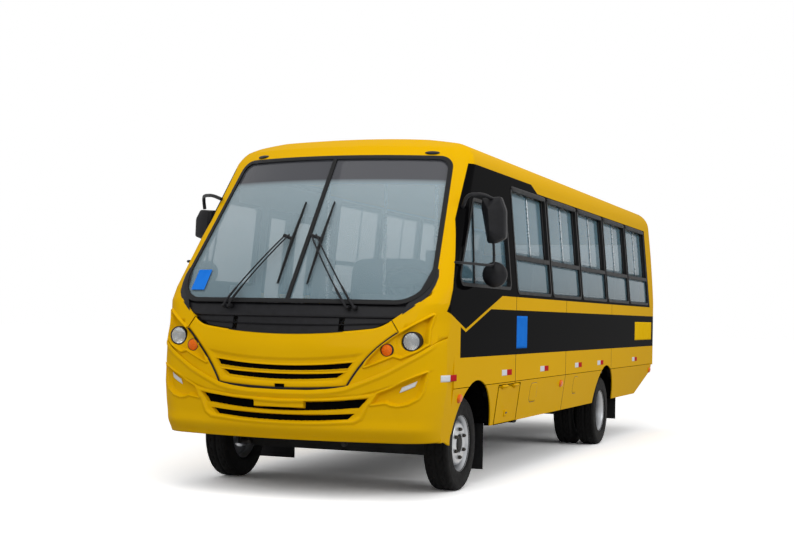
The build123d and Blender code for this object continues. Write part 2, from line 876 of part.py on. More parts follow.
roof_hatch_axis_y = hatch_mid_y - 306
roof_hatch_axis_z = coaming_z + 14
with BuildPart() as roof_hatch:
    block(-330, 330, hatch_mid_y - 284, hatch_mid_y + 330, coaming_z + clearance, coaming_z + 28)
    fillet(roof_hatch.edges().group_by(Axis.Z)[-1], 10)
    for x in (220, -220):
        block(x - 20, x + 20, roof_hatch_axis_y, hatch_mid_y - 280, coaming_z + 6, coaming_z + 22)
        barrel_ends = [(end, roof_hatch_axis_y, roof_hatch_axis_z) for end in (x - 20, x + 20)]
        rod(*barrel_ends, 12)
        rod_hole = Location((x, roof_hatch_axis_y, roof_hatch_axis_z), (0, 90, 0))
        with Locations(rod_hole):
            Cylinder(6 + clearance, 60, mode=Mode.SUBTRACT)
pieces["roof_hatch"] = roof_hatch

# Rear wall, rounded at its corners and over the top
rear_face_y = rear_y - 25


def rear_solid(inset):
    with BuildPart() as cap:
        add(body_prism(rear_join_y, rear_y + 50, inset))
        with BuildSketch(Plane.XY.offset(300)) as plan:
            with Locations((0, rear_face_y - inset - 500)):
                RectangleRounded(body_width + 2 - 2 * inset, 1000, 150 - inset)
        extrude(amount=3000, mode=Mode.INTERSECT)
        with BuildSketch(Plane.YZ.offset(-1400)) as profile:
            Polygon(
                (rear_join_y - 10, 300),
                (rear_face_y + 1 - inset, 300),
                (rear_face_y + 1 - inset, 1700),
                (rear_face_y - 60 - inset, roof_height - inset),
                (rear_join_y - 10, roof_height - inset),
                align=None,
            )
            fillet(profile.vertices().sort_by(Axis.X).group_by(Axis.Y)[-1].sort_by(Axis.X)[-1], 160 - inset)
        extrude(amount=2800, mode=Mode.INTERSECT)
    return cap.part


rear_low_z = 835.0
with BuildPart() as rear_wall:
    add(rear_solid(0))
    add(rear_solid(wall), mode=Mode.SUBTRACT)
    block(-1300, 1300, rear_join_y - 50, rear_y + 100, 0, rear_low_z, Mode.SUBTRACT)
    add(departure_cut.part, mode=Mode.SUBTRACT)
    block(-750, 750, rear_join_y + 60, rear_y + 50, 1780, 2420, Mode.SUBTRACT)
pieces["rear_wall"] = rear_wall

with BuildPart() as rear_glass:
    add(rear_solid(16))
    add(rear_solid(22), mode=Mode.SUBTRACT)
    block(
        -750 + clearance,
        750 - clearance,
        rear_join_y + 60,
        rear_y + 50,
        1780 + clearance,
        2420 - clearance,
        Mode.INTERSECT,
    )
with BuildPart() as window_glass:
    add(side_panes(1))
    add(side_panes(-1))
    add(rear_glass.part)
pieces["window_glass"] = window_glass

with BuildPart() as rear_bumper:
    block(-1080, 1080, rear_face_y, rear_y, 850, 1010)
    fillet(rear_bumper.edges().filter_by(Axis.Z).sort_by(Axis.Y)[-2:], 20)
pieces["rear_bumper"] = rear_bumper

with BuildPart() as tail_lamps:
    for side in (1, -1):
        for lamp_z in (1120, 1250, 1380):
            rod(
                (side * 960, rear_face_y, lamp_z),
                (side * 960, rear_y - 2, lamp_z),
                52,
            )
pieces["tail_lamps"] = tail_lamps

# Ladder frame: two rails, round cross tubes between them, cross bearers under the floor
with BuildPart() as frame_rails:
    for side in (1, -1):
        x_from = min(side * rail_inner, side * rail_outer)
        block(x_from, x_from + rail_outer - rail_inner, rail_front_y, rail_rear_y, rail_bottom_z, rail_top_z)
        inner = min(side * (rail_inner - 1), side * (rail_outer - 8))
        block(
            inner,
            inner + rail_outer - rail_inner - 7,
            rail_front_y - 1,
            rail_rear_y + 1,
            rail_bottom_z + 8,
            rail_top_z - 8,
            Mode.SUBTRACT,
        )
pieces["frame_rails"] = frame_rails

cross_tube_ys = [station(d) for d in (-945, 620, 1900, 3200, 4100, 5500, 6500, 7380)]
cross_tube_z = 745.0
cross_tube_r = 40.0
shaft_z = 640.0
shaft_r = 45.0
bearing_y = station(1900)
with BuildPart() as frame_crossmembers:
    for y in cross_tube_ys:
        rod((-rail_outer + 8, y, cross_tube_z), (rail_outer - 8, y, cross_tube_z), cross_tube_r)
    block(-50, 50, bearing_y - 20, bearing_y + 20, shaft_z + shaft_r + clearance, cross_tube_z)

front_flap_y = station(530)
rear_flap_y = station(5840)
bearer_half = 30.0
bearer_ys = [station(d) for d in (-560, 2000, 2900, 3800, 4800, 6600, 7400)]
bearer_ys += [front_flap_y + bearer_half, rear_flap_y + bearer_half]
half_bearer = half_width(rail_top_z) - wall - clearance
with BuildPart() as floor_bearers:
    for y in bearer_ys:
        block(-half_bearer, half_bearer, y - bearer_half, y + bearer_half, rail_top_z, floor_bottom_z)
    block(-1300, -560, door_front_y - 40, door_rear_y + 40, 700, 1000, Mode.SUBTRACT)
    block(-rail_inner, rail_inner, engine_front_y - 100, engine_rear_y + 100, 700, 1000, Mode.SUBTRACT)
with BuildPart() as frame_cross_set:
    add(frame_crossmembers.part)
    add(floor_bearers.part)
pieces["frame_crossmembers"] = frame_cross_set

# Floor with the step well and the engine's opening
well_front_y = door_front_y - 30
well_rear_y = door_rear_y + 30
well_inner_x = -600.0
with BuildPart() as floor:
    block(-floor_half, floor_half, floor_front_y, rear_join_y, floor_bottom_z, floor_top_z)
    engine_bay = (-engine_half - 40, engine_half + 40, floor_front_y - 10, engine_rear_y + 60)
    block(*engine_bay, 800, 1000, Mode.SUBTRACT)
    block(-1300, well_inner_x, well_front_y, well_rear_y, 800, 1000, Mode.SUBTRACT)
    add(pieces["front_mask"].part, mode=Mode.SUBTRACT)
pieces["floor"] = floor

tread = 20.0
step_rise = 240.0
with BuildPart() as entry_steps:
    lower_tread = (-850, floor_top_z - 2 * step_rise)
    upper_tread = (well_inner_x - clearance, floor_top_z - step_rise)
    for x_to, top_z in (lower_tread, upper_tread):
        x_from = -half_width(top_z) + wall + 2 if top_z < 600 else -860
        block(x_from, x_to, well_front_y, well_rear_y, top_z - tread, top_z)
    block(-870, -850, well_front_y, well_rear_y, floor_top_z - 2 * step_rise, floor_top_z - step_rise)
    block(
        well_inner_x - 20 - clearance,
        well_inner_x - clearance,
        well_front_y,
        well_rear_y,
        floor_top_z - step_rise,
        floor_top_z,
    )
    for y in (well_front_y, well_rear_y - 20):
        block(-1080, well_inner_x - clearance, y, y + 20, floor_top_z - 2 * step_rise, floor_top_z)
pieces["entry_steps"] = entry_steps

# Engine, its cover in the cab, and the radiator behind the hatch
with BuildPart() as engine_block:
    block(-engine_half, engine_half, engine_front_y, engine_rear_y, 580, 1200)
    fillet(engine_block.edges().filter_by(Axis.Y), 60)
    block(-rail_outer + 8, rail_outer - 8, engine_front_y + 300, engine_front_y + 360, 650, 720)
pieces["engine_block"] = engine_block

with BuildPart() as engine_cover:
    block(-450, 450, firewall_rear_y, engine_rear_y + 110, floor_top_z, 1310)
    fillet(engine_cover.edges().group_by(Axis.Z)[-1], 40)
    block(-435, 435, firewall_rear_y - 50, engine_rear_y + 95, floor_top_z - 1, 1295, Mode.SUBTRACT)
pieces["engine_cover"] = engine_cover

with BuildPart() as radiator:
    block(-330, 330, station(-985), station(-905), cross_tube_z + cross_tube_r + clearance, 1180)
pieces["radiator"] = radiator

# Axles, springs and running gear
hub_z = tyre_radius
beam_top_z = 360.0
with BuildPart() as front_axle:
    block(-kingpin_x + 58, kingpin_x - 58, front_axle_y - 45, front_axle_y + 45, beam_top_z - 90, beam_top_z)
    for side in (1, -1):
        rod((side * kingpin_x, front_axle_y, hub_z - 60), (side * kingpin_x, front_axle_y, hub_z + 60), 42)
        block(
            min(side * 790, side * kingpin_x),
            max(side * 790, side * kingpin_x),
            front_axle_y - 35,
            front_axle_y + 35,
            beam_top_z - 42,
            beam_top_z + 20,
        )
        with Locations((side * kingpin_x, front_axle_y, hub_z)):
            Cylinder(20 + clearance, 300, mode=Mode.SUBTRACT)
pieces["front_axle"] = front_axle

diff_radius = 185.0
with BuildPart() as rear_axle:
    rod((-760, rear_axle_y, hub_z), (760, rear_axle_y, hub_z), 65)
    rod((-1010, rear_axle_y, hub_z), (1010, rear_axle_y, hub_z), rear_spindle_r)
    rod((-130, rear_axle_y, hub_z), (130, rear_axle_y, hub_z), diff_radius)
    rod((0, rear_axle_y - 330, hub_z + 20), (0, rear_axle_y, hub_z + 20), 90)
pieces["rear_axle"] = rear_axle

spring_half = 30.0
spring_mid_x = (rail_inner + rail_outer) / 2
# columns: axle, half-length, height over the axle, end height
spring_sets = (
    (front_axle_y, 620, beam_top_z, rail_bottom_z - 40),
    (rear_axle_y, 720, hub_z + 65, rail_bottom_z - 40),
)
with BuildPart() as leaf_springs:
    for axle_y, reach, seat_z, end_z in spring_sets:
        for side in (1, -1):
            mid_x = side * spring_mid_x
            with BuildSketch(Plane.YZ.offset(mid_x - spring_half)):
                with BuildLine():
                    ThreePointArc((axle_y - reach, end_z), (axle_y, seat_z + 14), (axle_y + reach, end_z))
                    Line((axle_y + reach, end_z), (axle_y + reach, end_z + 40))
                    crown = (axle_y, seat_z + 70)
                    ThreePointArc((axle_y + reach, end_z + 40), crown, (axle_y - reach, end_z + 40))
                    Line((axle_y - reach, end_z + 40), (axle_y - reach, end_z))
                make_face()
            extrude(amount=2 * spring_half)
            block(mid_x - 35, mid_x + 35, axle_y - 60, axle_y + 60, seat_z, seat_z + 40)
            for end_y in (axle_y - reach, axle_y + reach):
                block(mid_x - 34, mid_x + 34, end_y - 30, end_y + 30, end_z - 10, rail_bottom_z)
pieces["leaf_springs"] = leaf_springs

with BuildPart() as propeller_shaft:
    rod((0, engine_rear_y + clearance, shaft_z), (0, bearing_y, shaft_z), shaft_r)
    rod((0, bearing_y - 15, shaft_z), (0, rear_axle_y - 335, hub_z + 24), shaft_r)
    block(-100, 100, engine_rear_y - 1, engine_rear_y + clearance, 500, 800, Mode.SUBTRACT)
    block(-100, 100, rear_axle_y - 330 - clearance, rear_axle_y, 300, 600, Mode.SUBTRACT)
pieces["propeller_shaft"] = propeller_shaft

tank_mid_y = station(2250)
with BuildPart() as fuel_tank:
    block(rail_outer + 25, 960, tank_mid_y - 450, tank_mid_y + 450, 430, 770)
    fillet(fuel_tank.edges().filter_by(Axis.Y), 60)
    for y in (tank_mid_y - 300, tank_mid_y + 300):
        block(rail_outer, rail_outer + 60, y - 30, y + 30, rail_bottom_z, rail_top_z)
pieces["fuel_tank"] = fuel_tank

with BuildPart() as exhaust:
    rod((-560, station(2300), 560), (-560, station(3200), 560), 110)
    rod((-560, station(3200), 560), (-560, station(4000), 620), 40)
    for y in (station(2450), station(3050)):
        block(-560, -rail_outer, y - 20, y + 20, 640, 700)
pieces["exhaust"] = exhaust

# Mud flaps hang from the fronts of two floor bearers, behind each wheel
flap_inner = 660.0
flap_width = 430.0
flap_thick = 8.0
with BuildPart() as mud_flaps:
    for x_from in (flap_inner, -flap_inner - flap_width):
        for y, low_z in ((front_flap_y, 120), (rear_flap_y, 220)):
            block(x_from, x_from + flap_width, y - flap_thick, y, low_z, floor_bottom_z - 10)
pieces["mud_flaps"] = mud_flaps

# Steered knuckles: yoke round the beam's eye, king pin and spindle
knuckle_plate_x = 895.0


def knuckle(side):
    x = side * kingpin_x
    with BuildPart() as fork:
        for ear_z in (hub_z - 95, hub_z + 65):
            rod((x, front_axle_y, ear_z), (x, front_axle_y, ear_z + 30), 42)
            plate_from = min(x, side * (knuckle_plate_x + 10))
            plate_to = max(x, side * (knuckle_plate_x + 10))
            block(plate_from, plate_to, front_axle_y - 42, front_axle_y + 42, ear_z, ear_z + 30)
        block(
            min(side * knuckle_plate_x, side * 920),
            max(side * knuckle_plate_x, side * 920),
            front_axle_y - 60,
            front_axle_y + 60,
            hub_z - 95,
            hub_z + 95,
        )
        rod((x, front_axle_y, hub_z - 95), (x, front_axle_y, hub_z + 95), 20)
        rod((side * 900, front_axle_y, hub_z), (side * 1040, front_axle_y, hub_z), front_spindle_r)
    return fork


pieces["knuckle_left"] = knuckle(1)
pieces["knuckle_right"] = knuckle(-1)


wheel_sides = 48
tread_half = 86.0
shoulder_radius = 335.0
rim_seat = rim_radius - clearance
rim_half = 86.0
rim_lip = 206.0
dish_radius = 190.0
inner_x = twin_centre_x - twin_spacing / 2
outer_x = twin_centre_x + twin_spacing / 2


def rings(side, axle_y, rows, mode=Mode.ADD):
    """Many-sided rings stacked along the axle, from rows of distance outward and radius."""
    for row, next_row in zip(rows, rows[1:]):
        small, large = sorted((row, next_row), key=lambda end: end[1])
        run = small[0] - large[0]
        lean = math.degrees(math.atan((large[1] - small[1]) * math.cos(math.pi / wheel_sides) / abs(run)))
        outward = math.copysign(1, side * run)
        ring_plane = Plane((side * large[0], axle_y, hub_z), x_dir=(0, 1, 0), z_dir=(outward, 0, 0))
        with BuildSketch(ring_plane) as ring:
            RegularPolygon(large[1], wheel_sides)
        extrude(ring.sketch, amount=abs(run), taper=lean, mode=mode)


def tyre(side, axle_y, middle):
    half = tyre_width / 2
    shoulders = [(middle + x, shoulder_radius) for x in (-half, half)]
    tread_edges = [(middle + x, tyre_radius) for x in (-tread_half, tread_half)]
    with BuildPart() as carcass:
        rings(side, axle_y, [shoulders[0], *tread_edges, shoulders[1]])
        rings(side, axle_y, [(middle + x, rim_radius) for x in (-half - 1, half + 1)], Mode.SUBTRACT)
    return carcass


def front_rim(side):
    """Rim with a shallow dish outside, a deep one inside and a hub on the spindle."""
    with BuildPart() as rim:
        rings(side, front_axle_y, [(front_wheel_x + x, rim_seat) for x in (-rim_half, rim_half)])
        dish = ((60, dish_radius), (rim_half, rim_lip), (rim_half + 1, rim_lip))
        rings(side, front_axle_y, [(front_wheel_x + x, radius) for x, radius in dish], Mode.SUBTRACT)
        back = ((-rim_half - 1, rim_lip), (-rim_half, rim_lip), (40, dish_radius))
        rings(side, front_axle_y, [(front_wheel_x + x, radius) for x, radius in back], Mode.SUBTRACT)
        rings(side, front_axle_y, [(front_wheel_x - 46, 120), (front_wheel_x + 45, 120)])
        rings(side, front_axle_y, [(front_wheel_x + 55, 95), (front_wheel_x + 76, 90)])
        hub_ends = [(x, front_axle_y, hub_z) for x in (0, side * half_body)]
        rod(*hub_ends, front_spindle_r + clearance, Mode.SUBTRACT)
    return rim


def rear_rims(side):
    """Twin rims on one disc, with a deep dish outside."""
    with BuildPart() as rims:
        rings(side, rear_axle_y, [(inner_x - rim_half, rim_seat), (inner_x + rim_half, rim_seat)])
        rings(side, rear_axle_y, [(inner_x, dish_radius + 8), (outer_x, dish_radius + 8)])
        rings(side, rear_axle_y, [(outer_x - rim_half, rim_seat), (outer_x + rim_half, rim_seat)])
        dish = [(outer_x - twin_centre_x, dish_radius - 10), (outer_x - twin_centre_x + rim_half, rim_lip)]
        bowl = [(12, dish_radius - 20), *dish, (dish[1][0] + 1, rim_lip)]
        rings(side, rear_axle_y, [(twin_centre_x + x, radius) for x, radius in bowl], Mode.SUBTRACT)
        rings(side, rear_axle_y, [(twin_centre_x - x, radius) for x, radius in bowl], Mode.SUBTRACT)
        rings(side, rear_axle_y, [(twin_centre_x - 130, 140), (twin_centre_x, 140)])
        rings(side, rear_axle_y, [(twin_centre_x, 100), (twin_centre_x + 85, 80)])
        hub_ends = [(x, rear_axle_y, hub_z) for x in (0, side * half_body)]
        rod(*hub_ends, rear_spindle_r + clearance, Mode.SUBTRACT)
    return rims


for side, name in ((1, "left"), (-1, "right")):
    pieces[f"rim_front_{name}"] = front_rim(side)
    pieces[f"tyre_front_{name}"] = tyre(side, front_axle_y, front_wheel_x)
    pieces[f"rims_rear_{name}"] = rear_rims(side)
    with BuildPart() as twin_tyres:
        add(tyre(side, rear_axle_y, inner_x).part)
        add(tyre(side, rear_axle_y, outer_x).part)
    pieces[f"tyres_rear_{name}"] = twin_tyres

# Cab: dashboard under the windscreen, steering wheel, driver's seat
driver_x = 720.0
dash_rear_y = station(-480)
with BuildPart() as dashboard:
    block(-1300, 1300, station(-860), dash_rear_y, 1330, 1462)
    block(driver_x - 300, driver_x + 300, station(-640), dash_rear_y, 1440, 1560)
    block(-1300, 1300, firewall_front_y, firewall_rear_y, floor_top_z, 1340)
    engine_gap = (-engine_half - 40, engine_half + 40, firewall_front_y - 1, firewall_rear_y + 1)
    block(*engine_gap, 900, 1270, Mode.SUBTRACT)
    add(nose_solid(cowl_inset + 30), mode=Mode.INTERSECT)
pieces["dashboard"] = dashboard

wheel_centre = (driver_x, station(-260), 1640)
wheel_plane = Plane(origin=wheel_centre, x_dir=(1, 0, 0), z_dir=(0, 0.62, 0.78))
wheel_outer_r = 226.0
wheel_grip = 32.0
with BuildPart() as steering_wheel:
    with BuildSketch(wheel_plane):
        RegularPolygon(wheel_outer_r, wheel_sides)
        RegularPolygon(wheel_outer_r - wheel_grip, wheel_sides, mode=Mode.SUBTRACT)
        Rectangle(2 * wheel_outer_r - wheel_grip, wheel_grip)
    extrude(amount=wheel_grip / 2, both=True)
    with Locations(wheel_plane.location):
        with Locations((0, 0, -210)):
            Cylinder(28, 420)
    block(driver_x - 60, driver_x + 60, station(-600), dash_rear_y, 1200, 1500, Mode.SUBTRACT)
pieces["steering_wheel"] = steering_wheel

with BuildPart() as driver_seat:
    block(driver_x - 180, driver_x + 180, station(340), station(740), floor_top_z, 1200)
    with BuildSketch(Plane.YZ.offset(driver_x - 250)):
        with Locations((station(540), 1240)):
            RectangleRounded(500, 120, 40)
        with Locations((station(770), 1600)):
            RectangleRounded(100, 760, 40)
    extrude(amount=500)
pieces["driver_seat"] = driver_seat

# Passenger seats: double benches on pedestals along both walls
bench_count = {1: 8, -1: 7}
bench_first_y = {1: station(1500), -1: station(2230)}
bench_pitch = 740.0
bench_outer = floor_half - 60
bench_width = 860.0
cushion_low_z = 1290.0
cushion_high_z = 1390.0
back_high_z = 2010.0
with BuildPart() as seat_benches:
    for side in (1, -1):
        for index in range(bench_count[side]):
            y = bench_first_y[side] + index * bench_pitch
            outer_edge = side * bench_outer
            inner_edge = side * (bench_outer - bench_width)
            x_from, x_to = min(outer_edge, inner_edge), max(outer_edge, inner_edge)
            block(x_from, x_to, y, y + 420, cushion_low_z, cushion_high_z)
            pedestal = side * (bench_outer - bench_width / 2)
            block(pedestal - 30, pedestal + 30, y + 60, y + 360, floor_top_z, cushion_low_z)
pieces["seat_benches"] = seat_benches

with BuildPart() as seat_backs:
    for side in (1, -1):
        for index in range(bench_count[side]):
            y = bench_first_y[side] + index * bench_pitch + 420
            outer_edge = side * bench_outer
            inner_edge = side * (bench_outer - bench_width)
            x_from, x_to = min(outer_edge, inner_edge), max(outer_edge, inner_edge)
            with BuildSketch(Plane.YZ.offset(x_from)):
                Polygon(
                    (y + clearance, cushion_low_z),
                    (y + 80, cushion_low_z),
                    (y + 190, back_high_z),
                    (y + 110, back_high_z),
                    align=None,
                )
            extrude(amount=x_to - x_from)
pieces["seat_backs"] = seat_backs

with BuildPart() as handrails:
    for x, y in ((-430, station(640)), (-430, station(2020)), (330, station(1380))):
        rod((x, y, floor_top_z), (x, y, roof_height - wall - 22), 17)
pieces["handrails"] = handrails

# Wipers on the cowl, each with two arms and a blade
# columns: pivot x, arm end x, arm end z, blade top x, blade top z, blade foot x, blade foot z
wiper_rows = ((529, 59, 2026, 242, 2277, 8, 1640), (-518, -159, 2043, -8, 2287, -246, 1646))
with BuildPart() as wipers:
    for pivot_x, arm_x_end, arm_z, top_x, top_z, foot_x, foot_z in wiper_rows:
        pivot_z = wiper_pivot_z
        pivot = (pivot_x, nose_y(pivot_x, pivot_z) - 22, pivot_z)
        arm_end = (arm_x_end, nose_y(arm_x_end, arm_z) - 45, arm_z)
        top = (top_x, nose_y(top_x, top_z) - 25, top_z)
        foot = (foot_x, nose_y(foot_x, foot_z) - 25, foot_z)
        rod((pivot_x, pivot[1] + 80, pivot_z), (pivot_x, pivot[1] - 25, pivot_z), wiper_pivot_r)
        rod((pivot_x, pivot[1] - 15, pivot_z), arm_end, 8)
        rod(top, foot, 9)
        share = (arm_z - foot_z) / (top_z - foot_z)
        on_blade = tuple(f + share * (t - f) for f, t in zip(foot, top))
        rod(arm_end, on_blade, 8)
pieces["wipers"] = wipers

# Mirrors on tube arms from the pillars: an upright head over a round wide-view mirror
mirror_x = 1310.0
mirror_y = station(30)
mirror_low_z = 2010.0
mirror_high_z = 2340.0
round_mirror_z = 1745.0
round_mirror_r = 112.0
mirror_tube_r = 13.0
with BuildPart() as mirrors:
    for side in (1, -1):
        x = side * mirror_x
        arm_top = (x, mirror_y, mirror_high_z + 25)
        arm_low = (x, mirror_y, round_mirror_z + 70)
        block(x - 95, x + 95, mirror_y - 50, mirror_y + 50, mirror_low_z, mirror_high_z)
        rod((side * 1000, station(-230), 2280), arm_top, mirror_tube_r)
        rod(arm_top, (x, mirror_y, mirror_high_z - 20), mirror_tube_r)
        elbow = (x, mirror_y - 360, round_mirror_z + 70)
        rod((side * 1120, station(-640), round_mirror_z + 70), elbow, mirror_tube_r)
        rod(elbow, arm_low, mirror_tube_r)
        rod(arm_low, (x, mirror_y, mirror_low_z + 20), mirror_tube_r)
        rod((x, mirror_y - 25, round_mirror_z), (x, mirror_y + 40, round_mirror_z), round_mirror_r)
    add(nose_solid(0), mode=Mode.SUBTRACT)
pieces["mirrors"] = mirrors

# Tow eyes under the frame's ends
tow_bore_r = 20.0
tow_thick = 25.0
with BuildPart() as tow_eyes:
    for y, drop in ((rail_front_y + 60, 160), (rail_rear_y - 60, 50)):
        with BuildSketch(Plane.YZ.offset(rail_outer)):
            with Locations((y, rail_bottom_z + 50 - drop / 2)):
                Rectangle(90, drop + 100)
            with Locations((y, rail_bottom_z - drop)):
                Circle(45)
                Circle(tow_bore_r, mode=Mode.SUBTRACT)
        extrude(amount=tow_thick)
pieces["tow_eyes"] = tow_eyes

for name, piece in pieces.items():
    piece.part.label = name
    export_step(piece.part, f"parts/{name}.step")
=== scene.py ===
import json
import math

import bmesh
import bpy
import numpy as np
from mathutils import Matrix, Vector


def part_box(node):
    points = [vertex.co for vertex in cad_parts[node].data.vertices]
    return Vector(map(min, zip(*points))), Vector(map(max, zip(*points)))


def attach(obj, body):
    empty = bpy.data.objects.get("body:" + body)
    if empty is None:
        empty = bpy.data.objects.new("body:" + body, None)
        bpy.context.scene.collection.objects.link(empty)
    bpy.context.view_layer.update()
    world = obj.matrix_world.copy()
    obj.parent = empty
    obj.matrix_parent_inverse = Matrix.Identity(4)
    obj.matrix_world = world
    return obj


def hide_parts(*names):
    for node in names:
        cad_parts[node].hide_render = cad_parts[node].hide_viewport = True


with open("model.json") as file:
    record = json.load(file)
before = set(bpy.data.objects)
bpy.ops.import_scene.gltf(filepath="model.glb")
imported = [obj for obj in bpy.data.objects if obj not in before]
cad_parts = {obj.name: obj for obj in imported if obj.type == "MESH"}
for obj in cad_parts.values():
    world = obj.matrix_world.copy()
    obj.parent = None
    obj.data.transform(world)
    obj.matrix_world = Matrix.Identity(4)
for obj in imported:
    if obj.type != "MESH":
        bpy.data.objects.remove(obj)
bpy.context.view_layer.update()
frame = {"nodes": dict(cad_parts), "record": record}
nodes = frame["nodes"]
bodyOf = {node: body for body, group in frame["record"]["behaviour"]["bodies"].items() for node in group}
axleY, rearAxleY = -3.295, 1.505  # the axles' places along the bus
sides = ((1, "Left"), (-1, "Right"))
print("frame loaded:", len(nodes), "nodes")


def hexLinear(code):  # sRGB hex to linear RGBA, by the sRGB curve
    srgb = np.array([int(code[i : i + 2], 16) for i in (1, 3, 5)]) / 255
    linear = np.where(srgb <= 0.04045, srgb / 12.92, ((srgb + 0.055) / 1.055) ** 2.4)
    return (*linear.tolist(), 1.0)


def addNode(tree, kind, inputs=None, **settings):  # inputs hold values, or sockets to link
    node = tree.nodes.new(kind)
    for key, value in settings.items():
        setattr(node, key, value)
    for key, value in (inputs or {}).items():
        if isinstance(value, bpy.types.NodeSocket):
            tree.links.new(value, node.inputs[key])
        else:
            node.inputs[key].default_value = value
    return node


def startMaterial(name, **shaderInputs):  # principled shader, its tree and the piece's own coordinates
    material = bpy.data.materials.new(name)
    material.use_nodes = True
    tree = material.node_tree
    tree.nodes.clear()
    shader = addNode(
        tree, "ShaderNodeBsdfPrincipled", {k.replace("_", " "): v for k, v in shaderInputs.items()}
    )
    addNode(tree, "ShaderNodeOutputMaterial", {"Surface": shader.outputs[0]})
    place = addNode(tree, "ShaderNodeTexCoord").outputs["Object"]
    return material, tree, shader, place


def addGrain(tree, shader, place, grainMm, bumpiness):  # fine noise as bump
    grain = addNode(
        tree, "ShaderNodeTexNoise", {"Vector": place, "Scale": 1000 / grainMm, "Detail": 2.0},
    ).outputs["Fac"]
    bump = addNode(tree, "ShaderNodeBump", {"Height": grain, "Strength": bumpiness, "Distance": grainMm / 1000})
    tree.links.new(bump.outputs[0], shader.inputs["Normal"])


def makeFinish(name, spec):
    # two close colours mottled by noise, roughness that varies with it, and a fine grain as bump
    pale, deep, mottleMm, smooth, rough, grainMm, bumpiness, specular, more = spec
    material, tree, shader, place = startMaterial(name, Specular_IOR_Level=specular, **more)
    mottle = addNode(
        tree, "ShaderNodeTexNoise", {"Vector": place, "Scale": 1000 / mottleMm, "Detail": 4.0},
    ).outputs["Fac"]
    share = addNode(tree, "ShaderNodeMapRange", {0: mottle, 1: 0.3, 2: 0.7}).outputs[0]
    colour = addNode(
        tree, "ShaderNodeMix", {0: share, 6: hexLinear(pale), 7: hexLinear(deep)}, data_type="RGBA",
    )
    dull = addNode(tree, "ShaderNodeMapRange", {0: mottle, 1: 0.3, 2: 0.7, 3: smooth, 4: rough})
    tree.links.new(colour.outputs[2], shader.inputs["Base Color"])
    tree.links.new(dull.outputs[0], shader.inputs["Roughness"])
    if grainMm:
        addGrain(tree, shader, place, grainMm, bumpiness)
    return material


# two colours, mottle in mm, roughness from and to, grain in mm, its bump, specular level, more inputs
finishes = {
    # two-pack enamel over sheet steel: deep gloss with a faint orange peel
    "yellowEnamel": (
        "#D9A602", "#DDAB05", 700, 0.3, 0.36, 9, 0.02, 0.0, {"Coat Weight": 0.05, "Coat Roughness": 0.05},
    ),
    "blackEnamel": (
        "#101012", "#17171A", 500, 0.22, 0.3, 9, 0.02, 0.05, {"Coat Weight": 0.05, "Coat Roughness": 0.05},
    ),
    # moulded ABS: even satin with the mould's fine spark texture
    "blackAbs": ("#141416", "#1E1E21", 60, 0.42, 0.55, 2.5, 0.12, 0.15, {}),
    "greyAbs": ("#55585C", "#62656A", 80, 0.45, 0.6, 2.5, 0.12, 0.5, {}),
    # near-black that gives back hardly any light, darker than the black plastic: joint lines, and slot floors
    # and arch liners where the real black is darkened by painted shade
    "gapBlack": ("#050505", "#0A0A0B", 30, 0.8, 0.9, 4, 0.1, 0.0, {}),
    # extruded EPDM: dull, slightly bloomed
    "epdmRubber": ("#111112", "#1B1B1C", 40, 0.5, 0.68, 3, 0.08, 0.15, {}),
    # tyre compound: carbon black with a brown-grey bloom and dust
    "tyreRubber": ("#0E0E0E", "#171616", 35, 0.68, 0.88, 2.2, 0.25, 0.1, {}),
    # electrostatic silver enamel on pressed steel wheels
    "silverEnamel": ("#A0A2A5", "#B0B2B5", 90, 0.3, 0.42, 3, 0.03, 0.5, {"Metallic": 0.75}),
    # chassis black: brushed-on bitumen paint with road film
    "chassisPaint": ("#121213", "#1F1E1C", 60, 0.5, 0.75, 5, 0.15, 0.15, {}),
    # sand-cast iron: coarse skin
    "castIron": ("#3A3835", "#4A4642", 30, 0.55, 0.75, 3, 0.3, 0.5, {"Metallic": 0.8}),
    # drawn stainless tube
    "stainlessTube": ("#B9BBBD", "#C8CACB", 25, 0.22, 0.34, 1.5, 0.03, 0.5, {"Metallic": 1.0}),
    # pressed vinyl flooring with quartz flecks
    "vinylFloor": ("#3F4144", "#55575A", 6, 0.55, 0.7, 3, 0.1, 0.5, {}),
    # polycarbonate lenses
    "amberLens": ("#D9560A", "#EE7A14", 9, 0.1, 0.16, 6, 0.3, 0.06, {"Coat Weight": 0.04}),
    "redLens": ("#9A0D10", "#B8181A", 9, 0.1, 0.16, 6, 0.3, 0.06, {"Coat Weight": 0.04}),
    "clearLens": ("#DDE2E4", "#EDF0F1", 20, 0.04, 0.08, 0, 0.0, 0.5, {"Alpha": 0.25}),
    # vacuum-metallised reflector bowl
    "chromedBowl": ("#D5D8DA", "#E2E4E6", 15, 0.05, 0.1, 0, 0.0, 0.5, {"Metallic": 1.0}),
    # self-adhesive vinyl for signs and marks
    "blueVinyl": ("#1F6FD0", "#2678DA", 120, 0.3, 0.38, 4, 0.02, 0.0, {}),
    "yellowVinyl": ("#E9B913", "#EFC11C", 120, 0.32, 0.4, 4, 0.02, 0.0, {}),
    # prismatic reflective tape: honeycomb shows as a fine cell bump
    "whiteReflector": ("#C9CCD0", "#E2E5E8", 5, 0.15, 0.25, 5, 0.3, 0.0, {"Coat Weight": 0.04}),
    "redReflector": ("#A8161A", "#C22026", 5, 0.15, 0.25, 5, 0.3, 0.0, {"Coat Weight": 0.04}),
    # blank number plate: white enamel on aluminium
    "whitePlate": ("#D6D8D9", "#E0E2E2", 90, 0.3, 0.4, 4, 0.02, 0.2, {}),
    # woven moquette
    "seatCloth": ("#3B424E", "#56606E", 8, 0.8, 0.95, 3, 0.5, 0.5, {"Sheen Weight": 0.3}),
    # silvered mirror glass
    "mirrorGlass": ("#C6CCD0", "#D0D5D8", 200, 0.02, 0.04, 0, 0.0, 0.5, {"Metallic": 1.0}),
}
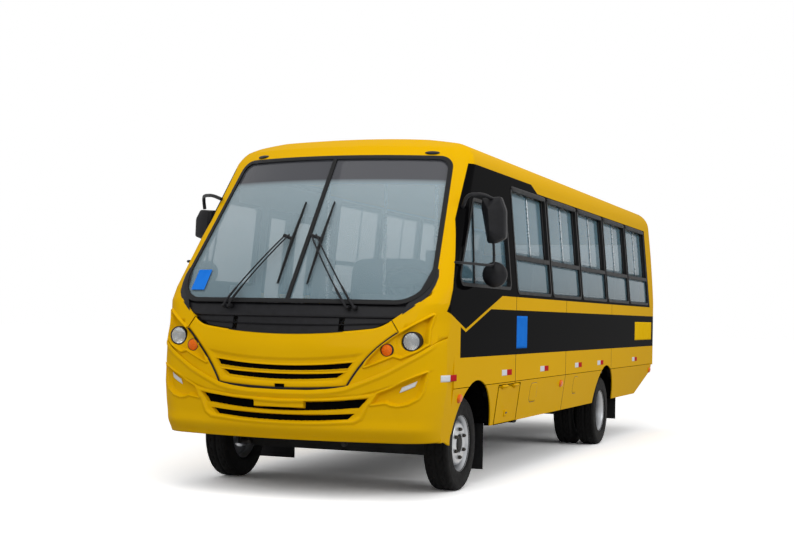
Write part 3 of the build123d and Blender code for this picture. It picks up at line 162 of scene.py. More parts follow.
finish = {name: makeFinish(name, spec) for name, spec in finishes.items()}

stripe = {  # heights, and places along the bus behind the front axle
    "low": 1.08, "high": 1.469, "front": -0.46, "rear": 7.36, "black": "#070708",
    "vY": -0.33, "vDepth": 1.304, "frontSlope": -0.311, "rearSlope": 0.285, "bandTop": 1.585, "line": 0.024,
    "seams": (1.09, 2.9, 5.04), "seam": 0.006, "seamTop": 1.6, "peelMm": 9, "peel": 0.02,
}
surround = {  # black area round the windows: its top steps down behind the cab, two lines give its front edge
    "cabTop": 2.655, "top": 2.585, "stepFrom": 1.848, "stepSlope": 0.35, "outside": 1.0,
    "lowZ": 1.432, "lowSlope": 0.597, "lowY": -0.756, "highZ": 2.172, "highSlope": 0.798, "highY": -0.314,
}
lining = {  # inner faces: grey in the cabin, black under the floor and in the arches
    "grey": "#A9ACAE", "x": 1.155, "lean": 0.114, "leanFrom": 1.6, "leanTo": 2.82, "top": 2.6, "floor": 0.94,
    "front": 0.15, "rear": 7.2, "flankZ": 0.44, "flankX": 1.135, "flankSlope": 0.1358, "flankMost": 1.19,
    "archFront": -0.45,
}


def makeStripedEnamel(name):
    # yellow enamel, black by place in the stripe, cab's V, window surround and arches, grey laminate in the
    # cabin
    material, tree, shader, place = startMaterial(
        name, Roughness=0.32, Specular_IOR_Level=0.0, Coat_Weight=0.05, Coat_Roughness=0.05,
    )
    axes = addNode(tree, "ShaderNodeSeparateXYZ", {0: place}).outputs
    lean = {
        0: axes[2], 1: lining["leanFrom"], 2: lining["leanTo"], 3: lining["x"], 4: lining["x"] - lining["lean"],
    }
    skin = addNode(tree, "ShaderNodeMapRange", lean).outputs[0]
    areas = {  # an area is where all its tests hold
        "upper": (
            ("GREATER_THAN", "z", "edge"), ("LESS_THAN", "z", "top"), ("GREATER_THAN", "along", "pillar"),
            ("LESS_THAN", "along", stripe["rear"]), ("GREATER_THAN", "across", surround["outside"]),
        ),
        "lower": (
            ("GREATER_THAN", "z", stripe["low"]), ("LESS_THAN", "z", "lowTop"),
            ("GREATER_THAN", "along", stripe["front"]),
        ),
        "cabin": (
            ("LESS_THAN", "across", "skin"), ("LESS_THAN", "z", lining["top"]),
            ("GREATER_THAN", "z", lining["floor"]), ("GREATER_THAN", "along", lining["front"]),
            ("LESS_THAN", "along", lining["rear"]),
        ),
        "under": (
            ("LESS_THAN", "across", "flank"), ("LESS_THAN", "z", lining["floor"]),
            ("GREATER_THAN", "along", lining["archFront"]), ("LESS_THAN", "along", lining["rear"]),
        ),
    }
    steps = [  # result, operation, and two numbers or earlier results
        ("along", "SUBTRACT", "y", axleY),
        ("across", "ABSOLUTE", "x", 0.0),
        ("fromV", "SUBTRACT", "along", stripe["vY"]),
        ("vFront", "MULTIPLY", "fromV", stripe["frontSlope"]),
        ("vRear", "MULTIPLY", "fromV", stripe["rearSlope"]),
        ("vRise", "MAXIMUM", "vFront", "vRear"),
        ("vEdge", "ADD", "vRise", stripe["vDepth"]),
        ("edge", "MINIMUM", "vEdge", stripe["bandTop"]),
        ("vLine", "SUBTRACT", "edge", stripe["line"]),
        ("lowTop", "MINIMUM", "vLine", stripe["high"]),
        ("pastStep", "SUBTRACT", "along", surround["stepFrom"]),
        ("stepDrop", "MULTIPLY", "pastStep", surround["stepSlope"]),
        ("stepTop", "SUBTRACT", surround["cabTop"], "stepDrop"),
        ("cabTop", "MINIMUM", "stepTop", surround["cabTop"]),
        ("top", "MAXIMUM", "cabTop", surround["top"]),
    ]
    for end in ("low", "high"):  # the pillar's two lines
        steps.append((end + "Over", "SUBTRACT", "z", surround[end + "Z"]))
        steps.append((end + "Back", "MULTIPLY", end + "Over", surround[end + "Slope"]))
        steps.append((end + "Pillar", "ADD", end + "Back", surround[end + "Y"]))
    steps += [
        ("pillar", "MAXIMUM", "lowPillar", "highPillar"),
        ("overFlank", "SUBTRACT", "z", lining["flankZ"]),
        ("flankOut", "MULTIPLY", "overFlank", lining["flankSlope"]),
        ("flankX", "ADD", "flankOut", lining["flankX"]),
        ("flank", "MINIMUM", "flankX", lining["flankMost"]),
    ]
    for area, tests in areas.items():
        for test in tests:
            steps.append(("holds", *test))
            steps.append((area, "MULTIPLY", area, "holds"))
    for y in stripe["seams"]:  # open panel joints
        steps.append(("offSeam", "SUBTRACT", "along", y))
        steps.append(("fromSeam", "ABSOLUTE", "offSeam", 0.0))
        steps.append(("onSeam", "LESS_THAN", "fromSeam", stripe["seam"]))
        steps.append(("seams", "MAXIMUM", "seams", "onSeam"))
    steps += [
        ("seamLow", "LESS_THAN", "z", stripe["seamTop"]),
        ("seams", "MULTIPLY", "seams", "seamLow"),
        ("black", "MAXIMUM", "upper", "lower"),
        ("lined", "MAXIMUM", "black", "seams"),
        ("dark", "MAXIMUM", "lined", "under"),
    ]
    value = {"x": axes[0], "y": axes[1], "z": axes[2], "skin": skin, "seams": 0.0, **dict.fromkeys(areas, 1.0)}
    for result, operation, first, second in steps:
        inputs = {0: value.get(first, first), 1: value.get(second, second)}
        value[result] = addNode(tree, "ShaderNodeMath", inputs, operation=operation).outputs[0]
    mottle = addNode(tree, "ShaderNodeTexNoise", {"Vector": place, "Scale": 1.4, "Detail": 4.0}).outputs["Fac"]
    pale, deep = (hexLinear(code) for code in finishes["yellowEnamel"][:2])
    yellow = addNode(tree, "ShaderNodeMix", {0: mottle, 6: pale, 7: deep}, data_type="RGBA").outputs[2]
    colour = addNode(
        tree, "ShaderNodeMix", {0: value["dark"], 6: yellow, 7: hexLinear(stripe["black"])}, data_type="RGBA",
    ).outputs[2]
    lined = addNode(
        tree, "ShaderNodeMix", {0: value["cabin"], 6: colour, 7: hexLinear(lining["grey"])}, data_type="RGBA",
    ).outputs[2]
    tree.links.new(lined, shader.inputs["Base Color"])
    addGrain(tree, shader, place, stripe["peelMm"], stripe["peel"])
    return material


finish["stripedEnamel"] = makeStripedEnamel("stripedEnamel")


def makeGlassWithPaintedSky(name, light, deep, span, cover, bandFrom=None):
    # laminated safety glass: a grey-blue film that lets the inside show, lighter towards the top as a painted
    # sky reflection and darker in a band at the top
    material, tree, shader, place = startMaterial(name, Roughness=0.03, Specular_IOR_Level=0.25)
    height = addNode(tree, "ShaderNodeSeparateXYZ", {0: place}).outputs[2]
    film = addNode(tree, "ShaderNodeTexNoise", {"Vector": place, "Scale": 1.2, "Detail": 2.0}).outputs["Fac"]
    # the colour runs from the deep one low down to the light one high up: a painted sky reflection over the
    # grey-blue tint
    rise = addNode(tree, "ShaderNodeMapRange", {0: height, 1: span[0], 2: span[1]}).outputs[0]
    share = addNode(tree, "ShaderNodeMix", {0: 0.25, 2: rise, 3: film}).outputs[0]
    tintAndPaintedSky = addNode(tree, "ShaderNodeMix", {0: share, 6: hexLinear(deep), 7: hexLinear(light)}, data_type="RGBA")
    if bandFrom:
        band = addNode(tree, "ShaderNodeMapRange", {0: height, 1: bandFrom, 2: bandFrom + 0.05})
        dark = addNode(
            tree, "ShaderNodeMix", {0: band.outputs[0], 6: tintAndPaintedSky.outputs[2], 7: hexLinear("#46474C")},
            data_type="RGBA",
        )
        hiding = addNode(tree, "ShaderNodeMapRange", {0: band.outputs[0], 3: cover, 4: 0.9})
        tree.links.new(dark.outputs[2], shader.inputs["Base Color"])
        tree.links.new(hiding.outputs[0], shader.inputs["Alpha"])
    else:
        tree.links.new(tintAndPaintedSky.outputs[2], shader.inputs["Base Color"])
        shader.inputs["Alpha"].default_value = cover
    return material


# side panes and windscreen: their light colours, high up, are partly painted sky reflection
finish["tintedGlass"] = makeGlassWithPaintedSky("tintedGlass", "#7CA0B0", "#4E6D79", (1.62, 2.15), 0.5)
finish["bandedGlass"] = makeGlassWithPaintedSky("bandedGlass", "#BACDD5", "#7B95A0", (1.5, 2.4), 0.38, 2.455)
print("materials made:", len(finish))

# each CAD node's finish; those in smoothNodes are shown as merged copies with soft normals and broken edges
finishNodes = {
    "stripedEnamel": (
        "front_mask", "left_wall", "right_wall", "door_leaf_front", "door_leaf_rear", "skirts", "roof",
        "rear_wall",
    ),
    "yellowEnamel": ("front_bumper", "front_hatch", "locker_flap"),
    "blackAbs": (
        "bumper_grille", "front_cowl", "hatch_grille", "rear_bumper", "steering_wheel", "wipers", "mirrors",
    ),
    "greyAbs": ("roof_hatch", "engine_cover", "dashboard"),
    "epdmRubber": ("windscreen_gasket", "window_seals", "mud_flaps"),
    "bandedGlass": ("windscreen",),
    "tintedGlass": ("door_glass_front", "door_glass_rear", "window_glass"),
    "chromedBowl": ("headlamps",),
    "amberLens": ("turn_lamps",),
    "redLens": ("tail_lamps",),
    "chassisPaint": (
        "hatch_hinge_rod", "frame_rails", "frame_crossmembers", "radiator", "front_axle", "rear_axle",
        "leaf_springs", "propeller_shaft", "fuel_tank", "tow_eyes",
    ),
    "castIron": ("engine_block", "exhaust", "knuckle_left", "knuckle_right"),
    "vinylFloor": ("floor", "entry_steps"),
    "silverEnamel": ("rim_front_left", "rim_front_right", "rims_rear_left", "rims_rear_right"),
    "tyreRubber": ("tyre_front_left", "tyre_front_right", "tyres_rear_left", "tyres_rear_right"),
    "seatCloth": ("driver_seat", "seat_benches", "seat_backs"),
    "stainlessTube": ("handrails",),
}
nodeFinish = {node: material for material, group in finishNodes.items() for node in group}
smoothNodes = {  # node: width of the broken edge in metres
    "front_mask": 0.0, "front_cowl": 0.0, "windscreen_gasket": 0.0, "windscreen": 0.0, "window_seals": 0.004,
    "left_wall": 0.0, "right_wall": 0.0, "door_leaf_front": 0.004, "door_leaf_rear": 0.004, "skirts": 0.004,
    "locker_flap": 0.003, "roof": 0.0, "rear_wall": 0.0, "rear_bumper": 0.008, "roof_hatch": 0.004,
    "dashboard": 0.02, "engine_block": 0.01, "engine_cover": 0.0, "fuel_tank": 0.0, "exhaust": 0.004,
    "rear_axle": 0.004, "front_axle": 0.006, "propeller_shaft": 0.0, "handrails": 0.0, "knuckle_left": 0.004,
    "knuckle_right": 0.004, "leaf_springs": 0.0, "frame_crossmembers": 0.0, "tow_eyes": 0.003,
    "driver_seat": 0.03, "steering_wheel": 0.006, "tail_lamps": 0.004,
}


def dress(piece, material, body, *stoodFor):
    piece.data.materials.clear()
    piece.data.materials.append(finish[material])
    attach(piece, body)
    if stoodFor:
        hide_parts(*stoodFor)
    return piece


def smoothCopy(name, edge):
    # the node's own triangles, merged, with flat areas joined and normals soft up to 32 degrees
    mesh = nodes[name].data.copy()
    work = bmesh.new()
    work.from_mesh(mesh)
    bmesh.ops.remove_doubles(work, verts=work.verts, dist=2e-5)
    bmesh.ops.dissolve_limit(work, angle_limit=math.radians(0.6), verts=work.verts, edges=work.edges)
    work.to_mesh(mesh)
    work.free()
    mesh.shade_smooth()
    mesh.set_sharp_from_angle(angle=math.radians(32))
    piece = bpy.data.objects.new(name + ".smooth", mesh)
    bpy.context.scene.collection.objects.link(piece)
    if edge:
        bevel = piece.modifiers.new("brokenEdge", "BEVEL")
        bevel.width = edge
        bevel.segments = 2
        bevel.limit_method = "ANGLE"
        bevel.angle_limit = math.radians(40)
        bevel.harden_normals = True
    even = piece.modifiers.new("evenNormals", "WEIGHTED_NORMAL")
    even.keep_sharp = True
    return dress(piece, nodeFinish[name], bodyOf[name], name)


for name, material in nodeFinish.items():
    nodes[name].data.materials.clear()
    nodes[name].data.materials.append(finish[material])
for name, edge in smoothNodes.items():
    smoothCopy(name, edge)
print("CAD nodes dressed:", len(nodeFinish))


def spread(first, second):  # grid of two even runs, each start, end and count
    return np.meshgrid(np.linspace(*first), np.linspace(*second))


def gridFaces(rows, columns, wrapColumns=False):  # quads between neighbouring points of a grid
    index = np.arange(rows * columns).reshape(rows, columns)
    if wrapColumns:
        index = np.hstack([index, index[:, :1]])
    return np.stack([index[:-1, :-1], index[1:, :-1], index[1:, 1:], index[:-1, 1:]], -1).reshape(-1, 4)


def addPiece(name, points, faces, material, body, *stoodFor, thick=0.0, angle=35):
    mesh = bpy.data.meshes.new(name)
    mesh.from_pydata(np.asarray(points).reshape(-1, 3).tolist(), [], np.asarray(faces).tolist())
    work = bmesh.new()
    work.from_mesh(mesh)
    bmesh.ops.remove_doubles(work, verts=work.verts, dist=1e-5)
    bmesh.ops.recalc_face_normals(work, faces=work.faces)
    work.to_mesh(mesh)
    work.free()
    mesh.shade_smooth()
    mesh.set_sharp_from_angle(angle=math.radians(angle))
    piece = bpy.data.objects.new(name, mesh)
    bpy.context.scene.collection.objects.link(piece)
    if thick:
        sheet = piece.modifiers.new("sheet", "SOLIDIFY")
        sheet.thickness = thick
        sheet.offset = -1
    return dress(piece, material, body, *stoodFor)


def outlineDistance(x, z, corners):
    # signed distance to a closed outline, positive inside: nearest edge, sign by crossings
    near = np.full(x.shape, 9.0)
    inside = np.zeros(x.shape, bool)
    for (ax, az), (bx, bz) in zip(corners, np.roll(corners, -1, 0)):
        ex, ez = bx - ax, bz - az
        t = np.clip(((x - ax) * ex + (z - az) * ez) / (ex * ex + ez * ez + 1e-12), 0, 1)
        near = np.minimum(near, np.hypot(x - ax - t * ex, z - az - t * ez))
        crosses = (az > z) != (bz > z)
        inside ^= crosses & (x < ax + (z - az) * ex / (ez if ez else 1e-9))
    return np.where(inside, near, -near)


def mirrored(corners):  # outline given for +X, closed over the middle
    half = np.array(corners)
    return np.vstack([half, half[::-1] * (-1, 1)])


def arcThrough(a, b, c, count):  # points of the circle through three points
    (ax, az), (bx, bz), (cx, cz) = a, b, c
    d = 2 * (ax * (bz - cz) + bx * (cz - az) + cx * (az - bz))
    ux = ((ax**2 + az**2) * (bz - cz) + (bx**2 + bz**2) * (cz - az) + (cx**2 + cz**2) * (az - bz)) / d
    uz = ((ax**2 + az**2) * (cx - bx) + (bx**2 + bz**2) * (ax - cx) + (cx**2 + cz**2) * (bx - ax)) / d
    turns = np.unwrap(np.arctan2(np.array((az, bz, cz)) - uz, np.array((ax, bx, cx)) - ux))
    sweep = np.linspace(turns[0], turns[2], count)
    radius = math.hypot(ax - ux, az - uz)
    return np.stack([ux + radius * np.cos(sweep), uz + radius * np.sin(sweep)], -1)


def soften(value, width):  # 0 below, 1 above, an s-curve over the width
    t = np.clip(value / width + 0.5, 0, 1)
    return t * t * (3 - 2 * t)


nose = {
    "z": (0.44, 0.52, 0.68, 1.15, 1.35, 1.49, 1.6, 2.7, 2.8, 2.88, 2.94),
    "setback": (0.055, 0.012, 0.0, 0.016, 0.062, 0.1, 0.181, 0.989, 1.11, 1.3, 1.68),
    "plan": (3.4, 3.4, 3.4, 3.3, 3.1, 3.0, 2.914, 2.05, 2.0, 2.0, 2.0),
    "corner": (0.33, 0.33, 0.33, 0.33, 0.33, 0.24, 0.2, 0.13, 0.13, 0.13, 0.13),
    "front": -4.475,
    "widthZ": (0.44, 0.845, 1.6, 2.82),
    "width": (1.147, 1.202, 1.202, 1.088),
    "round": 0.03,
}


def noseSurface(s, z, lift=0.0):
    # plan section of a wide front arc and two corner arcs, s along it from the middle, lifted along its normal
    def column(key):
        steps = nose["round"] * np.linspace(-1, 1, 5)
        return np.mean([np.interp(z + dz, nose["z"], nose[key]) for dz in steps], 0)

    plan, corner = column("plan"), column("corner")
    edge = np.interp(z, nose["widthZ"], nose["width"])
    turnStart = np.arcsin((edge - corner) / (plan - corner))
    along = np.abs(s)
    front = np.minimum(along / plan, turnStart)
    turn = turnStart + np.clip((along - plan * turnStart) / corner, 0, np.pi / 2 - turnStart)
    past = np.maximum(0, along - plan * turnStart - corner * (np.pi / 2 - turnStart))
    heading = np.where(turn > turnStart, turn, front)
    x = plan * np.sin(front) + corner * (np.sin(turn) - np.sin(turnStart)) + lift * np.sin(heading)
    y = nose["front"] + column("setback") + plan * (1 - np.cos(front))
    y = y + corner * (np.cos(turnStart) - np.cos(turn)) + past - lift * np.cos(heading)
    return np.stack([np.sign(s) * x, y, z + 0 * s], -1)


def trimmedPanel(s, z, keep, place, bow=0.0):
    # grid rows bowed up with s squared, only quads whose middle lies inside are kept,
    # then the border points are pulled onto the outline by Newton steps
    level, fadeIn = 0.56, 0.08  # the bow's square of s levels off here, and grows over this height
    gridS, gridZ = np.meshgrid(s, z)
    gridZ = gridZ + bow * level * np.tanh(gridS**2 / level) * np.clip((gridZ - z[0]) / fadeIn, 0, 1)
    flatS, flatZ = gridS.ravel().copy(), gridZ.ravel().copy()
    value = keep(flatS, flatZ)
    quads = gridFaces(len(z), len(s))
    kept = value[quads].mean(1) > 0
    inKept = np.zeros(len(flatS), bool)
    inKept[quads[kept]] = True
    inDropped = np.zeros(len(flatS), bool)
    inDropped[quads[~kept]] = True
    border = np.flatnonzero(inKept & inDropped)
    h = 1e-4
    limit = 0.6 * (s[1] - s[0])
    for _ in range(5):
        bs, bz = flatS[border], flatZ[border]
        now = keep(bs, bz)
        gs = (keep(bs + h, bz) - keep(bs - h, bz)) / (2 * h)
        gz = (keep(bs, bz + h) - keep(bs, bz - h)) / (2 * h)
        step = now / (gs * gs + gz * gz + 1e-6)
        flatS[border] -= np.clip(step * gs, -limit, limit)
        flatZ[border] -= np.clip(step * gz, -limit, limit)
    used = np.flatnonzero(inKept)
    renumber = np.zeros(len(flatS), int)
    renumber[used] = np.arange(len(used))
    return place(flatS[used], flatZ[used]), renumber[quads[kept]]


hatchOutline = mirrored(
    np.vstack(
        [
            arcThrough((0.0, 1.247), (0.36, 1.2597), (0.7, 1.295), 12),
            arcThrough((0.7, 1.295), (0.7665, 1.3156), (0.833, 1.359), 8)[1:],
            [(0.89, 1.275)],
            arcThrough((0.89, 1.275), (0.66, 1.058), (0.532, 0.865), 24)[1:],
            arcThrough((0.532, 0.862), (0.27, 0.8435), (0.0, 0.838), 12)[1:],
        ]
    )
)
# smile-shaped slots: low edge and its rise with x squared, high edge likewise, half length low and high
frontSlots = {
    "hatchUpper": (0.972, 0.095, 1.0, 0.11, 0.535, 0.56),
    "hatchLower": (0.904, 0.11, 0.936, 0.08, 0.455, 0.51),
    "bumperUpper": (0.67, 0.09, 0.731, 0.085, 0.63, 0.69),
    "bumperLower": (0.588, 0.1, 0.631, 0.07, 0.545, 0.605),
}


def slotDistance(x, z, row):  # positive inside the slot
    low, lowRise, high, highRise, halfLow, halfHigh = row
    ends = halfLow + (halfHigh - halfLow) * (z - low - lowRise * x * x) / (high - low)
    return np.minimum(
        np.minimum(z - low - lowRise * x * x, high + highRise * x * x - z), (ends - np.abs(x)) * 0.8,
    )


def makeHatch():
    # skin lifted by s-curves: step under the crease, rims round the slots, sunk slots, hemmed border
    hatch = {
        "half": 0.93, "low": 0.82, "high": 1.335, "bow": 0.1, "sheet": 0.01,
        "crease": 1.052, "creaseRise": 0.12, "creaseSoft": 0.03, "step": 0.012, "stepIn": 0.045,
        "stepSoft": 0.04,
        "rim": 0.006, "rimOut": 0.014, "rimSoft": 0.012, "sink": 0.034, "slotOut": 0.003, "slotSoft": 0.006,
        "hem": 0.006, "hemSoft": 0.01, "tabHalf": 0.042, "tab": 0.866, "tabMost": 0.01,
    }

    def keep(s, z):
        x = noseSurface(s, z)[..., 0]
        tab = np.minimum(np.minimum(hatch["tabHalf"] - np.abs(x), hatch["tab"] - z), hatch["tabMost"])
        return np.minimum(outlineDistance(x, z, hatchOutline), -tab)

    def place(s, z):
        x = noseSurface(s, z)[..., 0]
        below = hatch["crease"] + hatch["creaseRise"] * x * x - z
        inner = outlineDistance(x, z, hatchOutline)
        slots = np.maximum(
            slotDistance(x, z, frontSlots["hatchUpper"]), slotDistance(x, z, frontSlots["hatchLower"]),
        )
        pressed = hatch["step"] * soften(below, hatch["creaseSoft"])
        lift = -pressed * soften(inner - hatch["stepIn"], hatch["stepSoft"])
        lift = lift + hatch["rim"] * soften(slots + hatch["rimOut"], hatch["rimSoft"])
        lift = lift - hatch["sink"] * soften(slots + hatch["slotOut"], hatch["slotSoft"])
        lift = lift - hatch["hem"] * soften(hatch["hem"] - inner, hatch["hemSoft"])
        return noseSurface(s, z, lift)

    s, z = np.linspace(-hatch["half"], hatch["half"], 380), np.linspace(hatch["low"], hatch["high"], 122)
    points, faces = trimmedPanel(s, z, keep, place, bow=hatch["bow"])
    return addPiece(
        "hatchSkin", points, faces, "yellowEnamel", "front_hatch", "front_hatch", thick=hatch["sheet"],
    )


makeHatch()


def onSkin(s, z):  # a trim's place, 1.5 mm proud of the nose
    return noseSurface(s, z, 0.0015)


def makeSealAndGapShade():
    # black rubber band along the hatch's outline, a seal that also stands for the painted shade in the hatch
    # gap: a band of the nose surface that ends below the hinge
    seal = {"out": 0.012, "in": 0.003, "top": 1.27, "half": 0.93, "low": 0.81, "high": 1.39}

    def keep(s, z):
        border = outlineDistance(noseSurface(s, z)[..., 0], z, hatchOutline)
        return np.minimum(np.minimum(border + seal["out"], seal["in"] - border), seal["top"] - z)

    s, z = np.linspace(-seal["half"], seal["half"], 620), np.linspace(seal["low"], seal["high"], 200)
    addPiece("hatchSealAndGapShade", *trimmedPanel(s, z, keep, onSkin), "epdmRubber", "body")


makeSealAndGapShade()


def slotLiner(name, row, body, depth, node):
    # black floor of a slot, its grille black darkened into painted shade: the slot's own outline, grown a
    # little, set inside the skin
    low, lowRise, high, highRise, _, halfHigh = row
    u, v = spread((-1, 1, 90), (-0.12, 1.12, 8))
    x = u * (halfHigh + 0.01)
    z = low + lowRise * x * x + v * (high - low + (highRise - lowRise) * x * x)
    ribs = 0.004 * (np.cos(2 * np.pi * x / 0.045) > 0.2)
    return addPiece(
        name, noseSurface(x * 1.008, z, ribs - depth), gridFaces(8, 90), "gapBlack", body, node, thick=0.004,
    )


slotLiner("hatchLinerUpper", frontSlots["hatchUpper"], "front_hatch", 0.024, "hatch_grille")
slotLiner("hatchLinerLower", frontSlots["hatchLower"], "front_hatch", 0.024, "hatch_grille")

lip = {
    "x": (0, 0.25, 0.4, 0.526, 0.679, 0.827, 0.935, 1.032, 1.111, 1.2, 1.3),
    "z": (0.826, 0.83, 0.843, 0.864, 0.926, 0.992, 1.057, 1.116, 1.178, 1.24, 1.3),
}
crease = {
    "x": (0, 0.25, 0.48, 0.644, 0.757, 0.974, 1.111, 1.25),
    "z": (0.764, 0.77, 0.788, 0.806, 0.836, 0.92, 0.984, 1.05),
}
cornerRecess = np.array(
    [
        (1.1, 0.972), (0.98, 0.912), (0.86, 0.85), (0.77, 0.812), (0.722, 0.735), (0.83, 0.752), (0.862, 0.738),
        (0.915, 0.73), (0.985, 0.746), (1.05, 0.786), (1.075, 0.83),
    ]
)
grilleFrame = mirrored(
    [(0.0, 0.752), (0.4, 0.766), (0.745, 0.81), (0.66, 0.62), (0.6, 0.585), (0.3, 0.565), (0.0, 0.56)]
)


def bend(curve, x):  # smooth reading of a curve's few points
    steps = 0.03 * np.linspace(-1, 1, 5)
    return np.mean([np.interp(np.abs(x) + dx, curve["x"], curve["z"]) for dx in steps], 0)


def makeBumper():
    # lip, crease and pocket are lifts along the plan normal, each an s-curve of the distance to its line
    bumper = {
        "half": 1.5, "low": 0.44, "high": 1.29, "bow": 0.09, "sheet": 0.012,
        "sideY": -4.045, "bottom": 0.445, "top": 1.3, "topGap": 0.004,
        "lip": 0.016, "lipOut": 0.006, "lipSoft": 0.02, "lipTall": 0.042, "lipFade": 0.03, "lipEnd": 1.13,
        "endSoft": 0.08,
        "crease": 0.012, "creaseOut": 0.004, "creaseSoft": 0.018, "creaseEnd": 1.12, "creaseIn": 0.03,
        "creaseFade": 0.05,
        "pocket": 0.03, "pocketIn": 0.006, "pocketSoft": 0.018, "brow": 0.011, "browOut": 0.016,
        "browSoft": 0.012, "browFade": 0.01,
        "frame": 0.012, "frameSoft": 0.02, "field": 0.014, "fieldIn": 0.028,
        "sink": 0.04, "slotOut": 0.003, "slotSoft": 0.006, "plate": 0.01, "plateHalf": 0.21, "plateLow": 0.688,
        "plateHigh": 0.75,
        "swell": 0.012, "swellZ": 0.545, "swellTall": 0.05, "swellEnd": 1.1, "swellFade": 0.2,
    }

    def keep(s, z):
        point = noseSurface(s, z)
        top = np.minimum(bend(lip, point[..., 0]) - bumper["topGap"], bumper["top"])
        seam = bumper["sideY"] - point[..., 1]
        return np.minimum(np.minimum(top - z, z - bumper["bottom"]), seam)

    def place(s, z):
        x = noseSurface(s, z)[..., 0]
        across = np.abs(x)
        underLip, underCrease = bend(lip, x) - z, bend(crease, x) - z
        pocket = outlineDistance(across, z, cornerRecess)
        framed = outlineDistance(x, z, grilleFrame)
        slots = np.maximum(
            slotDistance(x, z, frontSlots["bumperUpper"]), slotDistance(x, z, frontSlots["bumperLower"]),
        )
        plate = np.minimum(
            np.minimum(z - bumper["plateLow"], bumper["plateHigh"] - z), bumper["plateHalf"] - across,
        )
        onPlate = soften(plate, bumper["slotSoft"])
        roll = soften(underLip + bumper["lipOut"], bumper["lipSoft"])
        roll = roll - soften(underLip - bumper["lipTall"], bumper["lipFade"])
        lift = bumper["lip"] * roll * soften(bumper["lipEnd"] - across, bumper["endSoft"])
        ridge = bumper["crease"] * soften(-underCrease + bumper["creaseOut"], bumper["creaseSoft"])
        ridge = ridge * soften(bumper["creaseEnd"] - across, bumper["endSoft"])
        lift = lift + ridge * soften(underLip - bumper["creaseIn"], bumper["creaseFade"])
        lift = lift - bumper["pocket"] * soften(pocket - bumper["pocketIn"], bumper["pocketSoft"])
        brow = bumper["brow"] * soften(pocket + bumper["browOut"], bumper["browSoft"])
        lift = lift + brow * (1 - soften(pocket, bumper["browFade"]))
        lift = lift + bumper["frame"] * soften(framed, bumper["frameSoft"])
        lift = lift - bumper["field"] * soften(framed - bumper["fieldIn"], bumper["frameSoft"])
        lift = lift - bumper["sink"] * soften(slots + bumper["slotOut"], bumper["slotSoft"]) * (1 - onPlate)
        lift = lift + bumper["plate"] * onPlate
        swell = bumper["swell"] * np.exp(-(((z - bumper["swellZ"]) / bumper["swellTall"]) ** 2))
        lift = lift + swell * soften(bumper["swellEnd"] - across, bumper["swellFade"])
        return noseSurface(s, z, lift)

    s, z = np.linspace(-bumper["half"], bumper["half"], 430), np.linspace(bumper["low"], bumper["high"], 146)
    points, faces = trimmedPanel(s, z, keep, place, bow=bumper["bow"])
    return addPiece("bumperSkin", points, faces, "yellowEnamel", "body", "front_bumper", thick=bumper["sheet"])


makeBumper()
slotLiner("bumperLinerUpper", frontSlots["bumperUpper"], "body", 0.03, "bumper_grille")
slotLiner("bumperLinerLower", frontSlots["bumperLower"], "body", 0.03, "bumper_grille")
pocketStrip = {
    "x": 0.925, "z": 0.822, "long": 0.12, "rise": 0.05, "tall": 0.042, "slant": 0.018, "sunk": 0.024,
    "crown": 0.004, "spread": 1.012,
}
for side, label in sides:
    # grey reflector: a slanted strip in the bumper's pocket, crowned by an s-curve of the distance to its edge
    u, v = spread((0, 1, 14), (0, 1, 6))
    x = pocketStrip["x"] + pocketStrip["long"] * u + pocketStrip["slant"] * v
    z = pocketStrip["z"] + pocketStrip["rise"] * u + pocketStrip["tall"] * v
    inner = np.minimum(np.minimum(u, 1 - u) * 4, np.minimum(v, 1 - v) * 2)
    proud = -pocketStrip["sunk"] + pocketStrip["crown"] * soften(inner, 0.6)
    strip = noseSurface(x * pocketStrip["spread"], z, proud) * (side, 1, 1)
    addPiece("pocketReflector" + label, strip, gridFaces(6, 14), "whiteReflector", "body", thick=0.003)
print("nose skins made")

wheels = {  # body: side, middle of the outer tyre, axle place, nodes it shows
    "wheel_front_left": (1, 0.973, axleY, "tyre_front_left", "rim_front_left"),
    "wheel_front_right": (-1, 0.973, axleY, "tyre_front_right", "rim_front_right"),
    "wheel_rear_left": (1, 1.036, rearAxleY, "tyres_rear_left", "rims_rear_left"),
    "wheel_rear_right": (-1, 1.036, rearAxleY, "tyres_rear_right", "rims_rear_right"),
}
hubZ, twinGap = 0.378, 0.252  # axle height, and spacing of twin tyres


